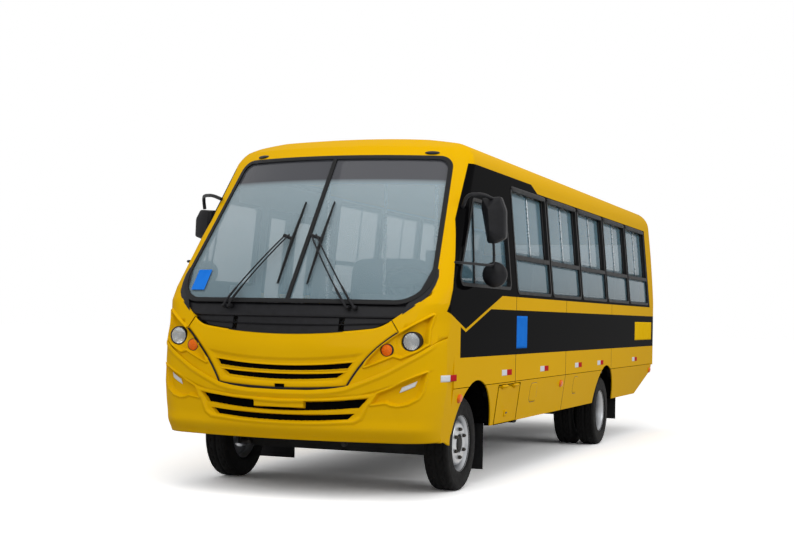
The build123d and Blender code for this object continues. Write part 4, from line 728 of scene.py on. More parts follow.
def makeTyre(name, side, middle, axle, body, node):
    # closed section: beads, bulged sidewalls with two raised rings, round shoulders, tread with zigzag grooves
    tyre = {
        "radius": (0.222, 0.238, 0.262, 0.3, 0.335, 0.356, 0.37, 0.378, 0.378),
        "reach": (0.086, 0.1, 0.1055, 0.1055, 0.103, 0.099, 0.09, 0.074, 0.0),
        "grooves": (0.0, 0.034, 0.066),
        "depth": 0.011, "grooveHalf": 0.0042, "pitch": 0.04, "zigzag": 0.005, "lug": 0.006, "lugFrom": 0.08,
        "treadFrom": 0.366, "soft": 0.012, "rings": ((0.345, 0.004), (0.25, 0.005)), "ring": 0.002,
        "blur": 0.035,
    }
    t = np.linspace(0, 1, len(tyre["radius"]))
    fine = np.linspace(0, 1, 43) ** 0.9
    blurred = [fine + w * (fine > 0.05) * (fine < 0.95) for w in tyre["blur"] * np.linspace(-1, 1, 5)]
    radius, reach = (np.mean([np.interp(b, t, tyre[k]) for b in blurred], 0) for k in ("radius", "reach"))
    radius = np.concatenate([radius, radius[-2::-1]])
    reach = np.concatenate([reach, -reach[-2::-1]])
    turns = np.linspace(0, 2 * np.pi, 201)[:-1]
    r, a = np.meshgrid(radius, turns, indexing="ij")
    x = np.meshgrid(reach, turns, indexing="ij")[0]
    steps = a * tyre["radius"][-1] / tyre["pitch"]
    wave = tyre["zigzag"] * np.abs(steps % 2 - 1) - tyre["zigzag"] / 2  # triangle wave round the tread
    grooves = [np.exp(-(((np.abs(x) - g + wave) / tyre["grooveHalf"]) ** 4)) for g in tyre["grooves"]]
    onTread = soften(r - tyre["treadFrom"], tyre["soft"])
    lugs = soften(np.sin(steps * np.pi) - 0.75, 0.3) * soften(np.abs(x) - tyre["lugFrom"], tyre["soft"])
    r = r - tyre["depth"] * np.max(grooves, 0) * onTread - tyre["lug"] * lugs * onTread
    ring = sum(np.exp(-(((r - place) / wide) ** 2)) for place, wide in tyre["rings"])
    x = x + np.sign(x) * tyre["ring"] * ring * (1 - onTread)
    points = np.stack([side * (middle + x), axle + r * np.cos(a), hubZ + r * np.sin(a)], -1)
    index = np.arange(points.shape[0] * len(turns)).reshape(-1, len(turns))
    faces = gridFaces(points.shape[0], len(turns), wrapColumns=True)
    inner = np.stack([index[-1], np.roll(index[-1], -1), np.roll(index[0], -1), index[0]], -1)
    return addPiece(name, points, np.vstack([faces, inner]), "tyreRubber", body, node, angle=50)


# profile rows: radius, reach outward from the tyre's middle
def latheFaces(profile, turns, side, middle, axle):
    r, a = np.meshgrid(profile[:, 0], turns, indexing="ij")
    x = np.meshgrid(profile[:, 1], turns, indexing="ij")[0]
    points = np.stack([side * (middle + x), axle + r * np.cos(a), hubZ + r * np.sin(a)], -1)
    return points.reshape(-1, 3), gridFaces(len(profile), len(turns), wrapColumns=True)


def joined(*parts):  # several point and face sets as one
    points = np.vstack([p.reshape(-1, 3) for p, _ in parts])
    starts = np.cumsum([0] + [len(p.reshape(-1, 3)) for p, _ in parts[:-1]])
    return points, np.vstack([f + start for (_, f), start in zip(parts, starts)])


def makeRim(body, side, middle, axle, node, deep):
    # turned barrel and disc with hand holes: the front disc stands out to the tyre's face, the rear one is a
    # dish
    rim = {
        "barrel": (
            (0.238, 0.079), (0.24, 0.088), (0.236, 0.092), (0.226, 0.09), (0.221, 0.082), (0.212, 0.068),
            (0.203, 0.05), (0.2, 0.0), (0.2, -0.05), (0.221, -0.082), (0.238, -0.088),
        ),
        "holes": 8,
        "holeRadius": 0.17 if deep else 0.184,
        "holeSize": 0.017 if deep else 0.011,
        "studs": 6,
        "studRadius": 0.1125,
    }
    turns = np.linspace(0, 2 * np.pi, 97)[:-1]
    face = -0.1 if deep else 0.078  # reach of the disc's flat
    disc = np.array(
        [
            (0.2, face - 0.03), (0.192, face - 0.018), (0.178, face - 0.008), (0.16, face - 0.002),
            (0.145, face), (0.09, face), (0.082, face + 0.004), (0.076, face + 0.004), (0.072, face - 0.006),
            (0.07, face - 0.04),
        ]
    )
    if not deep:
        disc[:5] = [(0.2, -0.03), (0.194, -0.004), (0.183, 0.036), (0.172, 0.066), (0.158, face)]

    def keep(s, r):
        pitch = 2 * np.pi / rim["holes"]
        off = (s + pitch / 2) % pitch - pitch / 2
        return np.hypot(off * rim["holeRadius"] / 1.5, r - rim["holeRadius"]) - rim["holeSize"]

    def place(s, r):
        reach = np.interp(r, disc[::-1, 0], disc[::-1, 1])
        return np.stack([side * (middle + reach), axle + r * np.cos(s), hubZ + r * np.sin(s)], -1)

    plate = trimmedPanel(np.linspace(0, 2 * np.pi, 161), np.linspace(0.07, 0.2, 25), keep, place)
    barrel = latheFaces(np.array(rim["barrel"]), turns, side, middle, axle)
    addPiece(body + "Disc", *plate, "silverEnamel", body, node, thick=0.006 * side)
    addPiece(body + "Barrel", *barrel, "silverEnamel", body, node, thick=0.005)
    hexTurns = np.linspace(0, 2 * np.pi, 7)[:-1]
    nutRows = np.array(
        [(0.0165, 0.0), (0.0165, 0.016), (0.013, 0.02), (0.009, 0.021), (0.009, 0.026), (0.0, 0.027)]
    )
    nuts = []
    for stud in range(rim["studs"]):
        turn = 2 * np.pi * (stud + 0.5) / rim["studs"]
        r, a = np.meshgrid(nutRows[:, 0], hexTurns, indexing="ij")
        x = np.meshgrid(nutRows[:, 1], hexTurns, indexing="ij")[0]
        y = axle + rim["studRadius"] * math.cos(turn) + r * np.cos(a)
        z = hubZ + rim["studRadius"] * math.sin(turn) + r * np.sin(a)
        nuts.append(
            (np.stack([side * (middle + face + x), y, z], -1), gridFaces(len(nutRows), 6, wrapColumns=True))
        )
    addPiece(body + "Nuts", *joined(*nuts), "castIron", body, angle=25)
    cap = np.array(
        [
            (0.071, face - 0.035), (0.068, face - 0.012), (0.06, face + 0.004), (0.05, face + 0.008),
            (0.02, face + 0.012), (0.0, face + 0.012),
        ]
    )
    if deep:
        cap = np.array(
            [
                (0.13, face), (0.125, face + 0.02), (0.1, face + 0.03), (0.095, face + 0.075),
                (0.08, face + 0.085), (0.03, face + 0.09), (0.0, face + 0.09),
            ]
        )
    addPiece(body + "Hub", *latheFaces(cap, turns, side, middle, axle), "chassisPaint", body)


for body, (side, middle, axle, tyreNode, rimNode) in wheels.items():
    makeTyre(body + "Tyre", side, middle, axle, body, tyreNode)
    deep = "rear" in body
    if deep:
        makeTyre(body + "InnerTyre", side, middle - twinGap, axle, body, tyreNode)
    makeRim(body, side, middle, axle, rimNode, deep)
print("wheels made")


def makeWheelHouse(name, side, axle):
    # arch liner, its black darkened into painted shade: a half tube over the wheel, flattened under the floor,
    # with an inner wall
    house = {"radius": 0.51, "inner": 0.6, "outer": 1.13, "roof": 0.875, "wallLow": 0.46}
    a, x = np.meshgrid(np.radians(np.linspace(15, 165, 49)), np.linspace(house["inner"], house["outer"], 5))
    height = np.minimum(hubZ + house["radius"] * np.sin(a), house["roof"])
    arch = np.stack([side * x, axle + house["radius"] * np.cos(a), height], -1)
    a, r = np.meshgrid(np.radians(np.linspace(15, 165, 49)), np.linspace(0.1, house["radius"], 5))
    height = np.clip(hubZ + r * np.sin(a), house["wallLow"], house["roof"])
    wall = np.stack([np.full_like(a, side * house["inner"]), axle + r * np.cos(a), height], -1)
    return addPiece(
        name, *joined((arch, gridFaces(5, 49)), (wall, gridFaces(5, 49))), "gapBlack", "body", thick=0.003,
    )


for body, (side, _, axle, _, _) in wheels.items():
    makeWheelHouse(body.replace("wheel", "house"), side, axle)


def sideX(z, side):  # the body side's place at a height
    return side * (np.interp(z, nose["widthZ"], nose["width"]) - 0.002)


def sidePlate(name, span, rise, lift, material, body="body", side=1, corner=0.0):
    # thin plate on the body side: outline rounded by an eighth power, edges falling in step with the edge
    # distance
    u, v = spread((-1, 1, 25), (-1, 1, 15))
    halfY, halfZ = (span[1] - span[0]) / 2, (rise[1] - rise[0]) / 2
    pull = np.minimum(corner / np.array([halfY, halfZ]), 0.9)
    roundV, roundU = (1 - np.sqrt(np.maximum(0, 1 - np.abs(w) ** 8)) for w in (v, u))
    y = (span[0] + span[1]) / 2 + axleY + halfY * u * (1 - pull[0] * roundV)
    z = (rise[0] + rise[1]) / 2 + halfZ * v * (1 - pull[1] * roundU)
    edge = np.minimum((1 - np.abs(u)) * halfY, (1 - np.abs(v)) * halfZ)
    x = sideX(z, side) + side * lift * np.minimum(1, edge / max(lift, 0.003) + 0.1)
    return addPiece(name, np.stack([x, y, z], -1), gridFaces(15, 25), material, body, thick=0.002)


def makeApron(name, side):
    # lower corner of the body side ahead of the front wheel: its bottom edge falls towards the arch
    apron = {"front": -0.745, "rear": -0.515, "lowFront": 0.445, "lowRear": 0.405, "high": 0.5}
    u, v = spread((0, 1, 9), (0, 1, 7))
    low = apron["lowFront"] + (apron["lowRear"] - apron["lowFront"]) * soften(u - 0.6, 0.8)
    z = low + (apron["high"] - low) * v
    y = axleY + apron["front"] + (apron["rear"] - apron["front"]) * u
    return addPiece(
        name, np.stack([sideX(z, side), y, z], -1), gridFaces(7, 9), "yellowEnamel", "body", thick=0.008,
    )


makeApron("apronLeft", 1)
makeApron("apronRight", -1)
signs = {
    "blueSign": ((1.106, 1.451), (1.132, 1.419), "blueVinyl"),
    "yellowSign": ((6.4, 7.49), (1.164, 1.39), "yellowVinyl"),
}
for name, (span, rise, material) in signs.items():
    sidePlate(name, span, rise, 0.0012, material)
flaps = {"fuelFlap": (1.625, 1.863, 0.633, 0.805), "smallFlap": (3.28, 3.45, 0.638, 0.809)}
for name, (y0, y1, z0, z1) in flaps.items():
    sidePlate(name + "Gap", (y0 - 0.004, y1 + 0.004), (z0 - 0.004, z1 + 0.004), 0.001, "blackAbs", corner=0.02)
    sidePlate(name, (y0, y1), (z0, z1), 0.003, "yellowEnamel", corner=0.02)
tape = {"y": (0.828, 2.078, 3.447, 4.487, 6.407), "long": 0.15, "rise": (0.905, 0.955), "proud": 0.0015}
for side, label in sides:
    for number, y in enumerate(tape["y"]):
        if side < 0 and number == 0:  # the doorway is here
            continue
        white, red = (y - tape["long"], y), (y, y + tape["long"])
        sidePlate(f"whiteTape{label}{number}", white, tape["rise"], tape["proud"], "whiteReflector", side=side)
        sidePlate(f"redTape{label}{number}", red, tape["rise"], tape["proud"], "redReflector", side=side)
marker = {
    "y": (-0.437, 2.738, 7.421), "z": 0.764, "halfY": 0.048, "halfZ": 0.036, "swell": 0.022, "seat": 0.001,
}
for side, label in sides:
    # amber side lamps: domes that rise as the root of 1 less the radius to the fourth
    for number, y in enumerate(marker["y"]):
        u, v = np.meshgrid(np.linspace(0, 1, 14), np.linspace(0, 2 * np.pi, 37)[:-1], indexing="ij")
        swell = marker["swell"] * np.sqrt(np.maximum(0, 1 - u**4))
        z = marker["z"] + marker["halfZ"] * u * np.sin(v)
        x = sideX(z, side) + side * (swell - marker["seat"])
        points = np.stack([x, y + axleY + marker["halfY"] * u * np.cos(v), z], -1)
        addPiece(f"marker{label}{number}", points, gridFaces(14, 36, wrapColumns=True), "amberLens", "body")


def sideSeam(name, loop, width, material):  # flat ribbon along a path on the left side, 1 mm proud
    loop = np.array(loop)
    along = np.gradient(loop, axis=0)
    along = along / np.linalg.norm(along, axis=1, keepdims=True)
    off = np.stack([-along[:, 1], along[:, 0]], -1) * width / 2
    flat = np.stack([loop - off, loop + off])
    points = np.stack([sideX(flat[..., 1], 1) + 0.003, flat[..., 0], flat[..., 1]], -1)
    return addPiece(name, points, gridFaces(2, len(loop)), material, "body", thick=0.001)


lockerLow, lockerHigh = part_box("locker_flap")
sidePlate("latchCup", (0.86, 0.95), (0.545, 0.605), 0.009, "yellowEnamel", "locker_flap", corner=0.01)
sidePlate("latchSlot", (0.88, 0.94), (0.562, 0.592), 0.0135, "blackAbs", "locker_flap")
(y0, z0), (y1, z1) = lockerLow[1:], lockerHigh[1:]
lockerEdge = np.array([(y0, z1), (y0, z0), (y1, z0), (y1, z1), (y0, z1)])
for number, (start, end) in enumerate(zip(lockerEdge[:-1], lockerEdge[1:])):
    t = np.linspace(0, 1, 8)[:, None]
    sideSeam(f"lockerSeam{number}", start * (1 - t) + end * t, 0.008, "gapBlack")
print("side details made")

windows = {
    "first": 1.095, "pitch": 1.242, "edge": 0.051, "low": 1.638, "high": 2.547, "transomLow": 1.924,
    "transomHigh": 1.96,
    "rows": {1: range(5), -1: range(1, 5)}, "under": 0.01, "lowerDepth": 0.015, "outerDepth": 0.034,
    "innerDepth": 0.042,
    "cab": {1: (-0.507, 0.917, 0.03), -1: (-0.507, 0.612, 0.03)}, "cabLow": 1.668, "cabHigh": 2.342,
    "cabSplit": 0.3, "cabLean": 0.1, "cabDepth": 0.016, "cabInner": 0.03, "cabPost": 0.012,
    "rearHalf": 0.748, "rearRise": (1.782, 2.418), "rearDepth": 0.019,
}


def rearY(z):  # the rear wall's outer face at a height
    return 4.451 - 0.061 * np.maximum(0, z - 1.7) / 1.215


def paneGrid(side, frontLow, rearLow, rearHigh, frontHigh, low, high, depth):
    # pane between two slanted ends, following the wall's lean and bowed out 3 mm
    u, v = spread((0, 1, 13), (0, 1, 9))
    front = frontLow + (frontHigh - frontLow) * v
    rear = rearLow + (rearHigh - rearLow) * v
    y = axleY + front + (rear - front) * u
    z = low + (high - low) * v
    bow = 0.003 * np.sin(np.pi * u) * np.sin(np.pi * v)
    return np.stack([sideX(z, side) - side * (depth - bow), y, z], -1), gridFaces(9, 13)


def bar(side, y, low, high, half, depth, lean=0.0):  # half-round upright
    t, w = spread((0, 1, 9), (-1, 1, 7))
    z = low + (high - low) * t
    x = sideX(z, side) - side * (depth - half * np.sqrt(1 - w * w))
    return np.stack([x, axleY + y + lean * t + half * w, z], -1), gridFaces(7, 9)


def hood(side, front, rear, z, drop, out):
    # drip hood: half-round profile along the opening, run out at both ends
    t, a = spread((0, 1, 31), (0, np.pi, 9))
    fade = np.sqrt(np.maximum(0, 1 - np.abs(2 * t - 1) ** 10))
    height = z - drop / 2 * (1 - np.cos(a) * fade)
    x = sideX(height, side) + side * (out * np.sin(a) * fade - 0.002)
    return np.stack([x, axleY + front + (rear - front) * t, height], -1), gridFaces(9, 31)


for side, label in sides:
    panes, edges, uprights, hoods = [], [], [], []
    for row in windows["rows"][side]:
        front = windows["first"] + row * windows["pitch"] + windows["edge"]
        rear = front + windows["pitch"] - 2 * windows["edge"]
        mid = (front + rear) / 2
        low, high, top = windows["transomHigh"], windows["high"], windows["high"] + windows["under"]
        panes.append(
            paneGrid(
                side, front, rear, rear, front, windows["low"] - windows["under"], windows["transomLow"],
                windows["lowerDepth"],
            )
        )
        ahead, behind, lap = front - windows["under"], rear + windows["under"], mid + 0.03
        panes.append(paneGrid(side, ahead, lap, lap, ahead, low, top, windows["outerDepth"]))
        panes.append(paneGrid(side, mid - 0.02, behind, behind, mid - 0.02, low, top, windows["innerDepth"]))
        edges.append(bar(side, lap, low, high, 0.006, 0.033))
        uprights.append(bar(side, front + 0.012, low, high, 0.012, 0.034))
        uprights.append(bar(side, rear - 0.014, low, high, 0.016, 0.04))
        hoods.append(hood(side, front - 0.03, rear + 0.03, high + 0.03, 0.05, 0.02))
    cabFront, cabRear, cabFrontTop = windows["cab"][side]
    split = cabFront + windows["cabSplit"] * (cabRear - cabFront)
    low, high = windows["cabLow"] - windows["under"], windows["cabHigh"] + windows["under"]
    lean = windows["cabLean"]
    panes.append(paneGrid(side, cabFront, split, split + lean, cabFrontTop, low, high, windows["cabDepth"]))
    panes.append(paneGrid(side, split - 0.02, cabRear, cabRear, split + 0.08, low, high, windows["cabInner"]))
    uprights.append(
        bar(side, split, windows["cabLow"], windows["cabHigh"], windows["cabPost"], windows["cabDepth"], lean)
    )
    addPiece("sidePanes" + label, *joined(*panes), "tintedGlass", "body", "window_glass", thick=0.004)
    addPiece("sliderEdges" + label, *joined(*edges), "stainlessTube", "body", thick=0.002)
    addPiece("sliderPosts" + label, *joined(*uprights), "epdmRubber", "body", thick=0.002)
    addPiece("dripHoods" + label, *joined(*hoods), "epdmRubber", "body", thick=0.002)
u, v = spread((-windows["rearHalf"], windows["rearHalf"], 21), (*windows["rearRise"], 9))
rearPane = np.stack([u, rearY(v) - windows["rearDepth"], v], -1)
addPiece("rearPane", rearPane, gridFaces(9, 21), "tintedGlass", "body", "window_glass", thick=0.005)
print("windows made")


def onNose(x, z):  # distance along the plan section at which the nose has this x
    s = np.linspace(0, 1.9, 1500)
    return np.interp(np.abs(x), noseSurface(s, np.full_like(s, z))[:, 0], s) * np.sign(x)


# profile of radius and forward reach, turned about an axis along Y
def facing(profile, turns, x, y, z, wave=0.0):
    r, a = np.meshgrid(profile[:, 0], turns, indexing="ij")
    reach = np.meshgrid(profile[:, 1], turns, indexing="ij")[0]
    reach = reach + wave * r * np.cos(18 * a)
    points = np.stack([x + r * np.cos(a), y - reach, z + r * np.sin(a)], -1)
    return points, gridFaces(len(profile), len(turns), wrapColumns=True)


lamps = {
    "headX": 0.99, "headZ": 1.206, "headR": 0.065, "turnX": 0.82, "turnZ": 1.138, "turnR": 0.043,
    "inset": 0.014,
}
lampTurns = np.linspace(0, 2 * np.pi, 73)[:-1]


def makeLamps(side, label):
    # headlamp: fluted parabolic bowl, bulb shield, domed lens and bezel; turn lamp: ribbed dome in a ring
    x, z, r = side * lamps["headX"], lamps["headZ"], lamps["headR"]
    y = noseSurface(onNose(np.array([x]), z), np.array([z]))[0, 1] + lamps["inset"]
    radii = np.linspace(0, r, 16)
    bowl = np.stack([radii, -0.05 + 0.046 * (radii / r) ** 2], -1)
    shield = np.array([(0.0, 0.004), (0.01, 0.003), (0.018, -0.004), (0.02, -0.012), (0.016, -0.045)])
    ring = np.array(
        [
            (r - 0.001, -0.008), (r - 0.001, 0.002), (r + 0.0025, 0.006), (r + 0.0075, 0.004),
            (r + 0.009, -0.006), (r + 0.009, -0.06),
        ]
    )
    glass = np.stack([radii, 0.002 + 0.012 * (1 - (radii / r) ** 2)], -1)
    addPiece("lampBowl" + label, *facing(bowl, lampTurns, x, y, z, 0.02), "chromedBowl", "body", "headlamps")
    addPiece("lampShield" + label, *facing(shield, lampTurns, x, y, z), "greyAbs", "body", "headlamps")
    addPiece("lampRing" + label, *facing(ring, lampTurns, x, y, z), "blackAbs", "body", "headlamps")
    addPiece(
        "lampLens" + label, *facing(glass, lampTurns, x, y, z), "clearLens", "body", "headlamps", thick=0.003,
    )
    x, z, r = side * lamps["turnX"], lamps["turnZ"], lamps["turnR"]
    y = noseSurface(onNose(np.array([x]), z), np.array([z]))[0, 1] + lamps["inset"]
    radii = np.linspace(0, r, 12)
    dome = np.stack([radii, 0.004 + 0.014 * (1 - (radii / r) ** 2)], -1)
    seat = np.array(
        [(r - 0.001, 0.0), (r, 0.005), (r + 0.0045, 0.004), (r + 0.006, -0.006), (r + 0.006, -0.05)]
    )
    addPiece("turnLens" + label, *facing(dome, lampTurns, x, y, z, 0.03), "amberLens", "body", "turn_lamps")
    addPiece("turnSeat" + label, *facing(seat, lampTurns, x, y, z), "blackAbs", "body", "turn_lamps")


makeLamps(1, "Left")
makeLamps(-1, "Right")
print("lamps made")


def makeCowl():
    # cowl panel above the upper grille, its lower edge rolled by a square root, and a black half-round bar
    cowl = {
        "low": 1.37, "high": 1.478, "half": 0.86, "halfHigh": 1.02, "spread": 1.02, "sunk": 0.035, "roll": 0.02,
        "sheet": 0.006,
        "barZ": 1.314, "barRise": 0.036, "barHalf": 0.79, "barTall": 0.005, "barSunk": 0.031, "barOut": 0.006,
        "barSpread": 1.015,
    }
    corner = np.array(
        [
            (0.9, 1.4), (1.0, 1.482), (1.05, 1.53), (1.078, 1.58), (1.092, 1.632), (1.098, 1.7), (1.085, 1.76),
            (1.04, 1.76), (1.0, 1.6), (0.93, 1.48),
        ]
    )

    def keep(s, z):
        return outlineDistance(noseSurface(s, z)[..., 0], z, corner)

    u, v = spread((-1, 1, 121), (0, 1, 15))
    half = cowl["half"] + (cowl["halfHigh"] - cowl["half"]) * v
    z = cowl["low"] + (cowl["high"] - cowl["low"]) * v
    lift = -cowl["sunk"] + cowl["roll"] * np.sqrt(np.clip(v * 6, 0, 1)) - cowl["roll"] * soften(v - 0.95, 0.1)
    panel = noseSurface(u * half * cowl["spread"], z, lift)
    addPiece("cowlPanel", panel, gridFaces(15, 121), "blackAbs", "body", thick=cowl["sheet"])
    t, w = spread((-1, 1, 121), (-1, 1, 7))
    x = t * cowl["barHalf"]
    z = cowl["barZ"] + cowl["barRise"] * x * x + cowl["barTall"] * w
    bar = noseSurface(x * cowl["barSpread"], z, -cowl["barSunk"] + cowl["barOut"] * np.sqrt(1 - w * w))
    addPiece("grilleBar", bar, gridFaces(7, 121), "blackEnamel", "body", thick=0.002)
    for side, label in sides:
        points, faces = trimmedPanel(np.linspace(0.86, 1.2, 70), np.linspace(1.38, 1.78, 80), keep, onSkin)
        addPiece("cowlCorner" + label, points * (side, 1, 1), faces, "blackAbs", "body")


makeCowl()

podOutline = np.array(
    [
        (1.118, 1.405), (0.905, 1.266), (0.862, 1.236), (0.765, 1.15), (0.688, 1.062), (0.664, 1.012),
        (0.749, 1.046), (0.87, 1.1), (0.925, 1.084), (1.032, 1.136), (1.1, 1.19), (1.096, 1.3),
    ]
)


def makePod(side, label):
    # lamp pocket: floor sunk along the plan normal, shallower round the turn lamp, with a rim that runs out
    pod = {
        "depth": 0.033, "depthIn": 0.006, "depthSoft": 0.016, "ridge": 0.893, "lean": 0.15, "leanZ": 1.15,
        "ridgeSoft": 0.03,
        "shallow": 0.55, "rim": 0.016, "rimOut": 0.014, "rimIn": 0.004, "rimSoft": 0.014,
        "tuck": 0.003, "tuckOut": 0.019, "tuckSoft": 0.008, "border": 0.024,
        "hatchGap": 0.009, "lipGap": 0.003, "headGap": 0.007, "turnGap": 0.004,
    }

    def keep(s, z):
        x = noseSurface(s, z)[..., 0]
        border = outlineDistance(x, z, podOutline) + pod["border"]
        gap = np.minimum(
            -outlineDistance(x, z, hatchOutline) - pod["hatchGap"], z - bend(lip, x) - pod["lipGap"],
        )
        for lamp in ("head", "turn"):  # holes for the lamps
            middle = np.hypot(x - lamps[lamp + "X"], z - lamps[lamp + "Z"])
            gap = np.minimum(gap, middle - lamps[lamp + "R"] - pod[lamp + "Gap"])
        return np.minimum(border, gap)

    def place(s, z):
        x = noseSurface(s, z)[..., 0]
        inner = outlineDistance(x, z, podOutline)
        beyond = soften(x - pod["ridge"] - pod["lean"] * (pod["leanZ"] - z), pod["ridgeSoft"])
        share = pod["shallow"] + (1 - pod["shallow"]) * beyond
        lift = -pod["depth"] * share * soften(inner - pod["depthIn"], pod["depthSoft"])
        rim = pod["rim"] * soften(inner + pod["rimOut"], pod["rimSoft"])
        lift = lift + rim * (1 - soften(inner - pod["rimIn"], pod["rimSoft"]))
        lift = lift - pod["tuck"] * (1 - soften(inner + pod["tuckOut"], pod["tuckSoft"]))
        return noseSurface(s, z, lift)

    points, faces = trimmedPanel(np.linspace(0.6, 1.24, 220), np.linspace(0.96, 1.45, 170), keep, place)
    return addPiece("lampPod" + label, points * (side, 1, 1), faces, "yellowEnamel", "body")


cornerTape = {"x": 1.118, "z": 0.93, "behind": 0.11}
for side, label in sides:
    makePod(side, label)
    # reflector tape behind the nose's corner, white ahead of red
    start = onNose(np.array([cornerTape["x"]]), cornerTape["z"])[0] + cornerTape["behind"]
    for part, material in enumerate(("whiteReflector", "redReflector")):
        low, high = start + part * tape["long"], start + (part + 1) * tape["long"]
        u, v = spread((low, high, 12), (*tape["rise"], 5))
        points = noseSurface(u, v, tape["proud"]) * (side, 1, 1)
        addPiece(f"cornerTape{label}{part}", points, gridFaces(5, 12), material, "body", thick=0.001)
print("lamp pods made")


def runPath(corners, count, width):  # points along straight legs, corners rounded by averaging over the width
    corners = np.array(corners)
    reach = np.concatenate([[0], np.cumsum(np.linalg.norm(np.diff(corners, axis=0), axis=1))])
    t = np.linspace(0, reach[-1], count)
    room = np.minimum(np.minimum(t, reach[-1] - t), width)
    places = [t + room * w for w in np.linspace(-1, 1, 9)]
    return np.mean([np.stack([np.interp(p, reach, corners[:, k]) for k in range(3)], -1) for p in places], 0)


def tube(path, wide, tall, outward, count=12):
    # bar: an ellipse carried along a path, closed at both ends
    along = np.gradient(path, axis=0)
    along = along / np.linalg.norm(along, axis=1, keepdims=True)
    across = np.cross(along, outward)
    across = across / np.linalg.norm(across, axis=1, keepdims=True)
    over = np.cross(across, along)
    turns = np.linspace(0, 2 * np.pi, count + 1)[:-1]
    wide, tall = np.broadcast_to(wide, len(path)), np.broadcast_to(tall, len(path))
    flat = wide[:, None, None] * across[:, None] * np.cos(turns)[:, None]
    ring = path[:, None] + flat + tall[:, None, None] * over[:, None] * np.sin(turns)[:, None]
    ends = np.repeat(path[:, None], count, 1)
    return np.concatenate([ends[:1], ring, ends[-1:]]), gridFaces(len(path) + 2, count, wrapColumns=True)


seats = {
    "rows": {1: (8, 1.5), -1: (7, 2.23)}, "pitch": 0.74, "inner": 0.228, "outer": 1.088, "segments": 18,
    "cap": 0.016,
    "cushion": (0.86, 0.42, 0.1), "cushionAt": (0.21, 1.335), "back": (0.86, 0.7, 0.075),
    "backAt": (0.51, 1.65), "lean": 9, "power": 7,
    "footY": (0.06, 0.36), "footZ": (0.93, 1.28), "footBend": 0.05, "tube": 0.018,
    "crown": 0.012, "pressure": 4, "frames": 20,
}


def roundedBlock(size, power):
    # cube grid pulled onto a superellipsoid by the p-norm and stretched to size, its faces and cube places
    block = bmesh.new()
    bmesh.ops.create_cube(block, size=2.0)
    bmesh.ops.subdivide_edges(block, edges=block.edges[:], cuts=seats["segments"] - 1, use_grid_fill=True)
    cube = np.array([v.co for v in block.verts])
    faces = np.array([[v.index for v in face.verts] for face in block.faces])
    block.free()
    reach = (np.abs(cube) ** power).sum(1) ** (1 / power)
    return cube / reach[:, None] * np.array(size) / 2, faces, cube


def inflated(points, faces, cube):
    # cover blown up by a cloth simulation, held along its piping, the middle channel and the front roll seam
    top = cube[:, 2] > 0.99
    piping = (np.abs(cube) > 0.99).sum(1) >= 2
    channel = (np.abs(cube[:, 0]) < 0.01) | (np.abs(cube[:, 1] + 2 / 3) < 0.01)
    seam = piping | (cube[:, 2] < -0.99) | (top & channel)
    mesh = bpy.data.meshes.new("cover")
    mesh.from_pydata(points.tolist(), [], faces.tolist())
    cover = bpy.data.objects.new("cover", mesh)
    scene = bpy.context.scene
    scene.collection.objects.link(cover)
    cover.vertex_groups.new(name="seam").add(np.flatnonzero(seam).tolist(), 1.0, "ADD")
    cloth = cover.modifiers.new("cover", "CLOTH")
    cloth.settings.vertex_group_mass = "seam"
    cloth.settings.use_pressure = True
    cloth.settings.uniform_pressure_force = seats["pressure"]
    cloth.settings.effector_weights.gravity = 0
    cloth.collision_settings.use_collision = False
    cloth.point_cache.frame_end = seats["frames"]
    for frameNumber in range(1, seats["frames"] + 1):
        scene.frame_set(frameNumber)
    blown = np.empty(len(points) * 3)
    cover.evaluated_get(bpy.context.evaluated_depsgraph_get()).data.vertices.foreach_get("co", blown)
    scene.frame_set(1)
    bpy.data.objects.remove(cover)
    move = blown.reshape(-1, 3) - points
    length = np.linalg.norm(move, axis=1, keepdims=True) + 1e-9
    print("cover moved up to", round(float(length.max()) * 1000, 1), "mm")
    return points + move * np.minimum(1, seats["cap"] / length)


def makeSeats():
    # one cushion and one back, the back leaned by sine and cosine, repeated at an even pitch
    base, baseFaces, baseCube = roundedBlock(seats["cushion"], seats["power"])
    base = inflated(base, baseFaces, baseCube)
    back, backFaces, backCube = roundedBlock(seats["back"], seats["power"])
    x, up, out = inflated(back, backFaces, backCube).T
    lean = math.radians(seats["lean"])
    y, z = -out * math.cos(lean) + up * math.sin(lean), up * math.cos(lean) + out * math.sin(lean)
    upright = np.stack([x, y, z], -1)
    (baseY, baseZ), (backY, backZ) = seats["cushionAt"], seats["backAt"]
    (y0, y1), (z0, z1) = seats["footY"], seats["footZ"]
    for side, label in sides:
        count, first = seats["rows"][side]
        mid = side * (seats["inner"] + seats["outer"]) / 2
        starts = axleY + first + np.arange(count) * seats["pitch"]
        bases = [(base + (mid, y + baseY, baseZ), baseFaces) for y in starts]
        backs = [(upright + (mid, y + backY, backZ), backFaces) for y in starts]
        addPiece("cushions" + label, *joined(*bases), "seatCloth", "body", "seat_benches", angle=60)
        addPiece("seatBacks" + label, *joined(*backs), "seatCloth", "body", "seat_backs", angle=60)
        legs = []
        for y in starts:  # bent tube foot under each bench
            foot = [(mid, y + y0, z0), (mid, y + y0, z1), (mid, y + y1, z1), (mid, y + y1, z0)]
            legs.append(tube(runPath(foot, 40, seats["footBend"]), seats["tube"], seats["tube"], (1, 0, 0)))
        addPiece("seatLegs" + label, *joined(*legs), "chassisPaint", "body", "seat_benches")


makeSeats()
print("seats made")

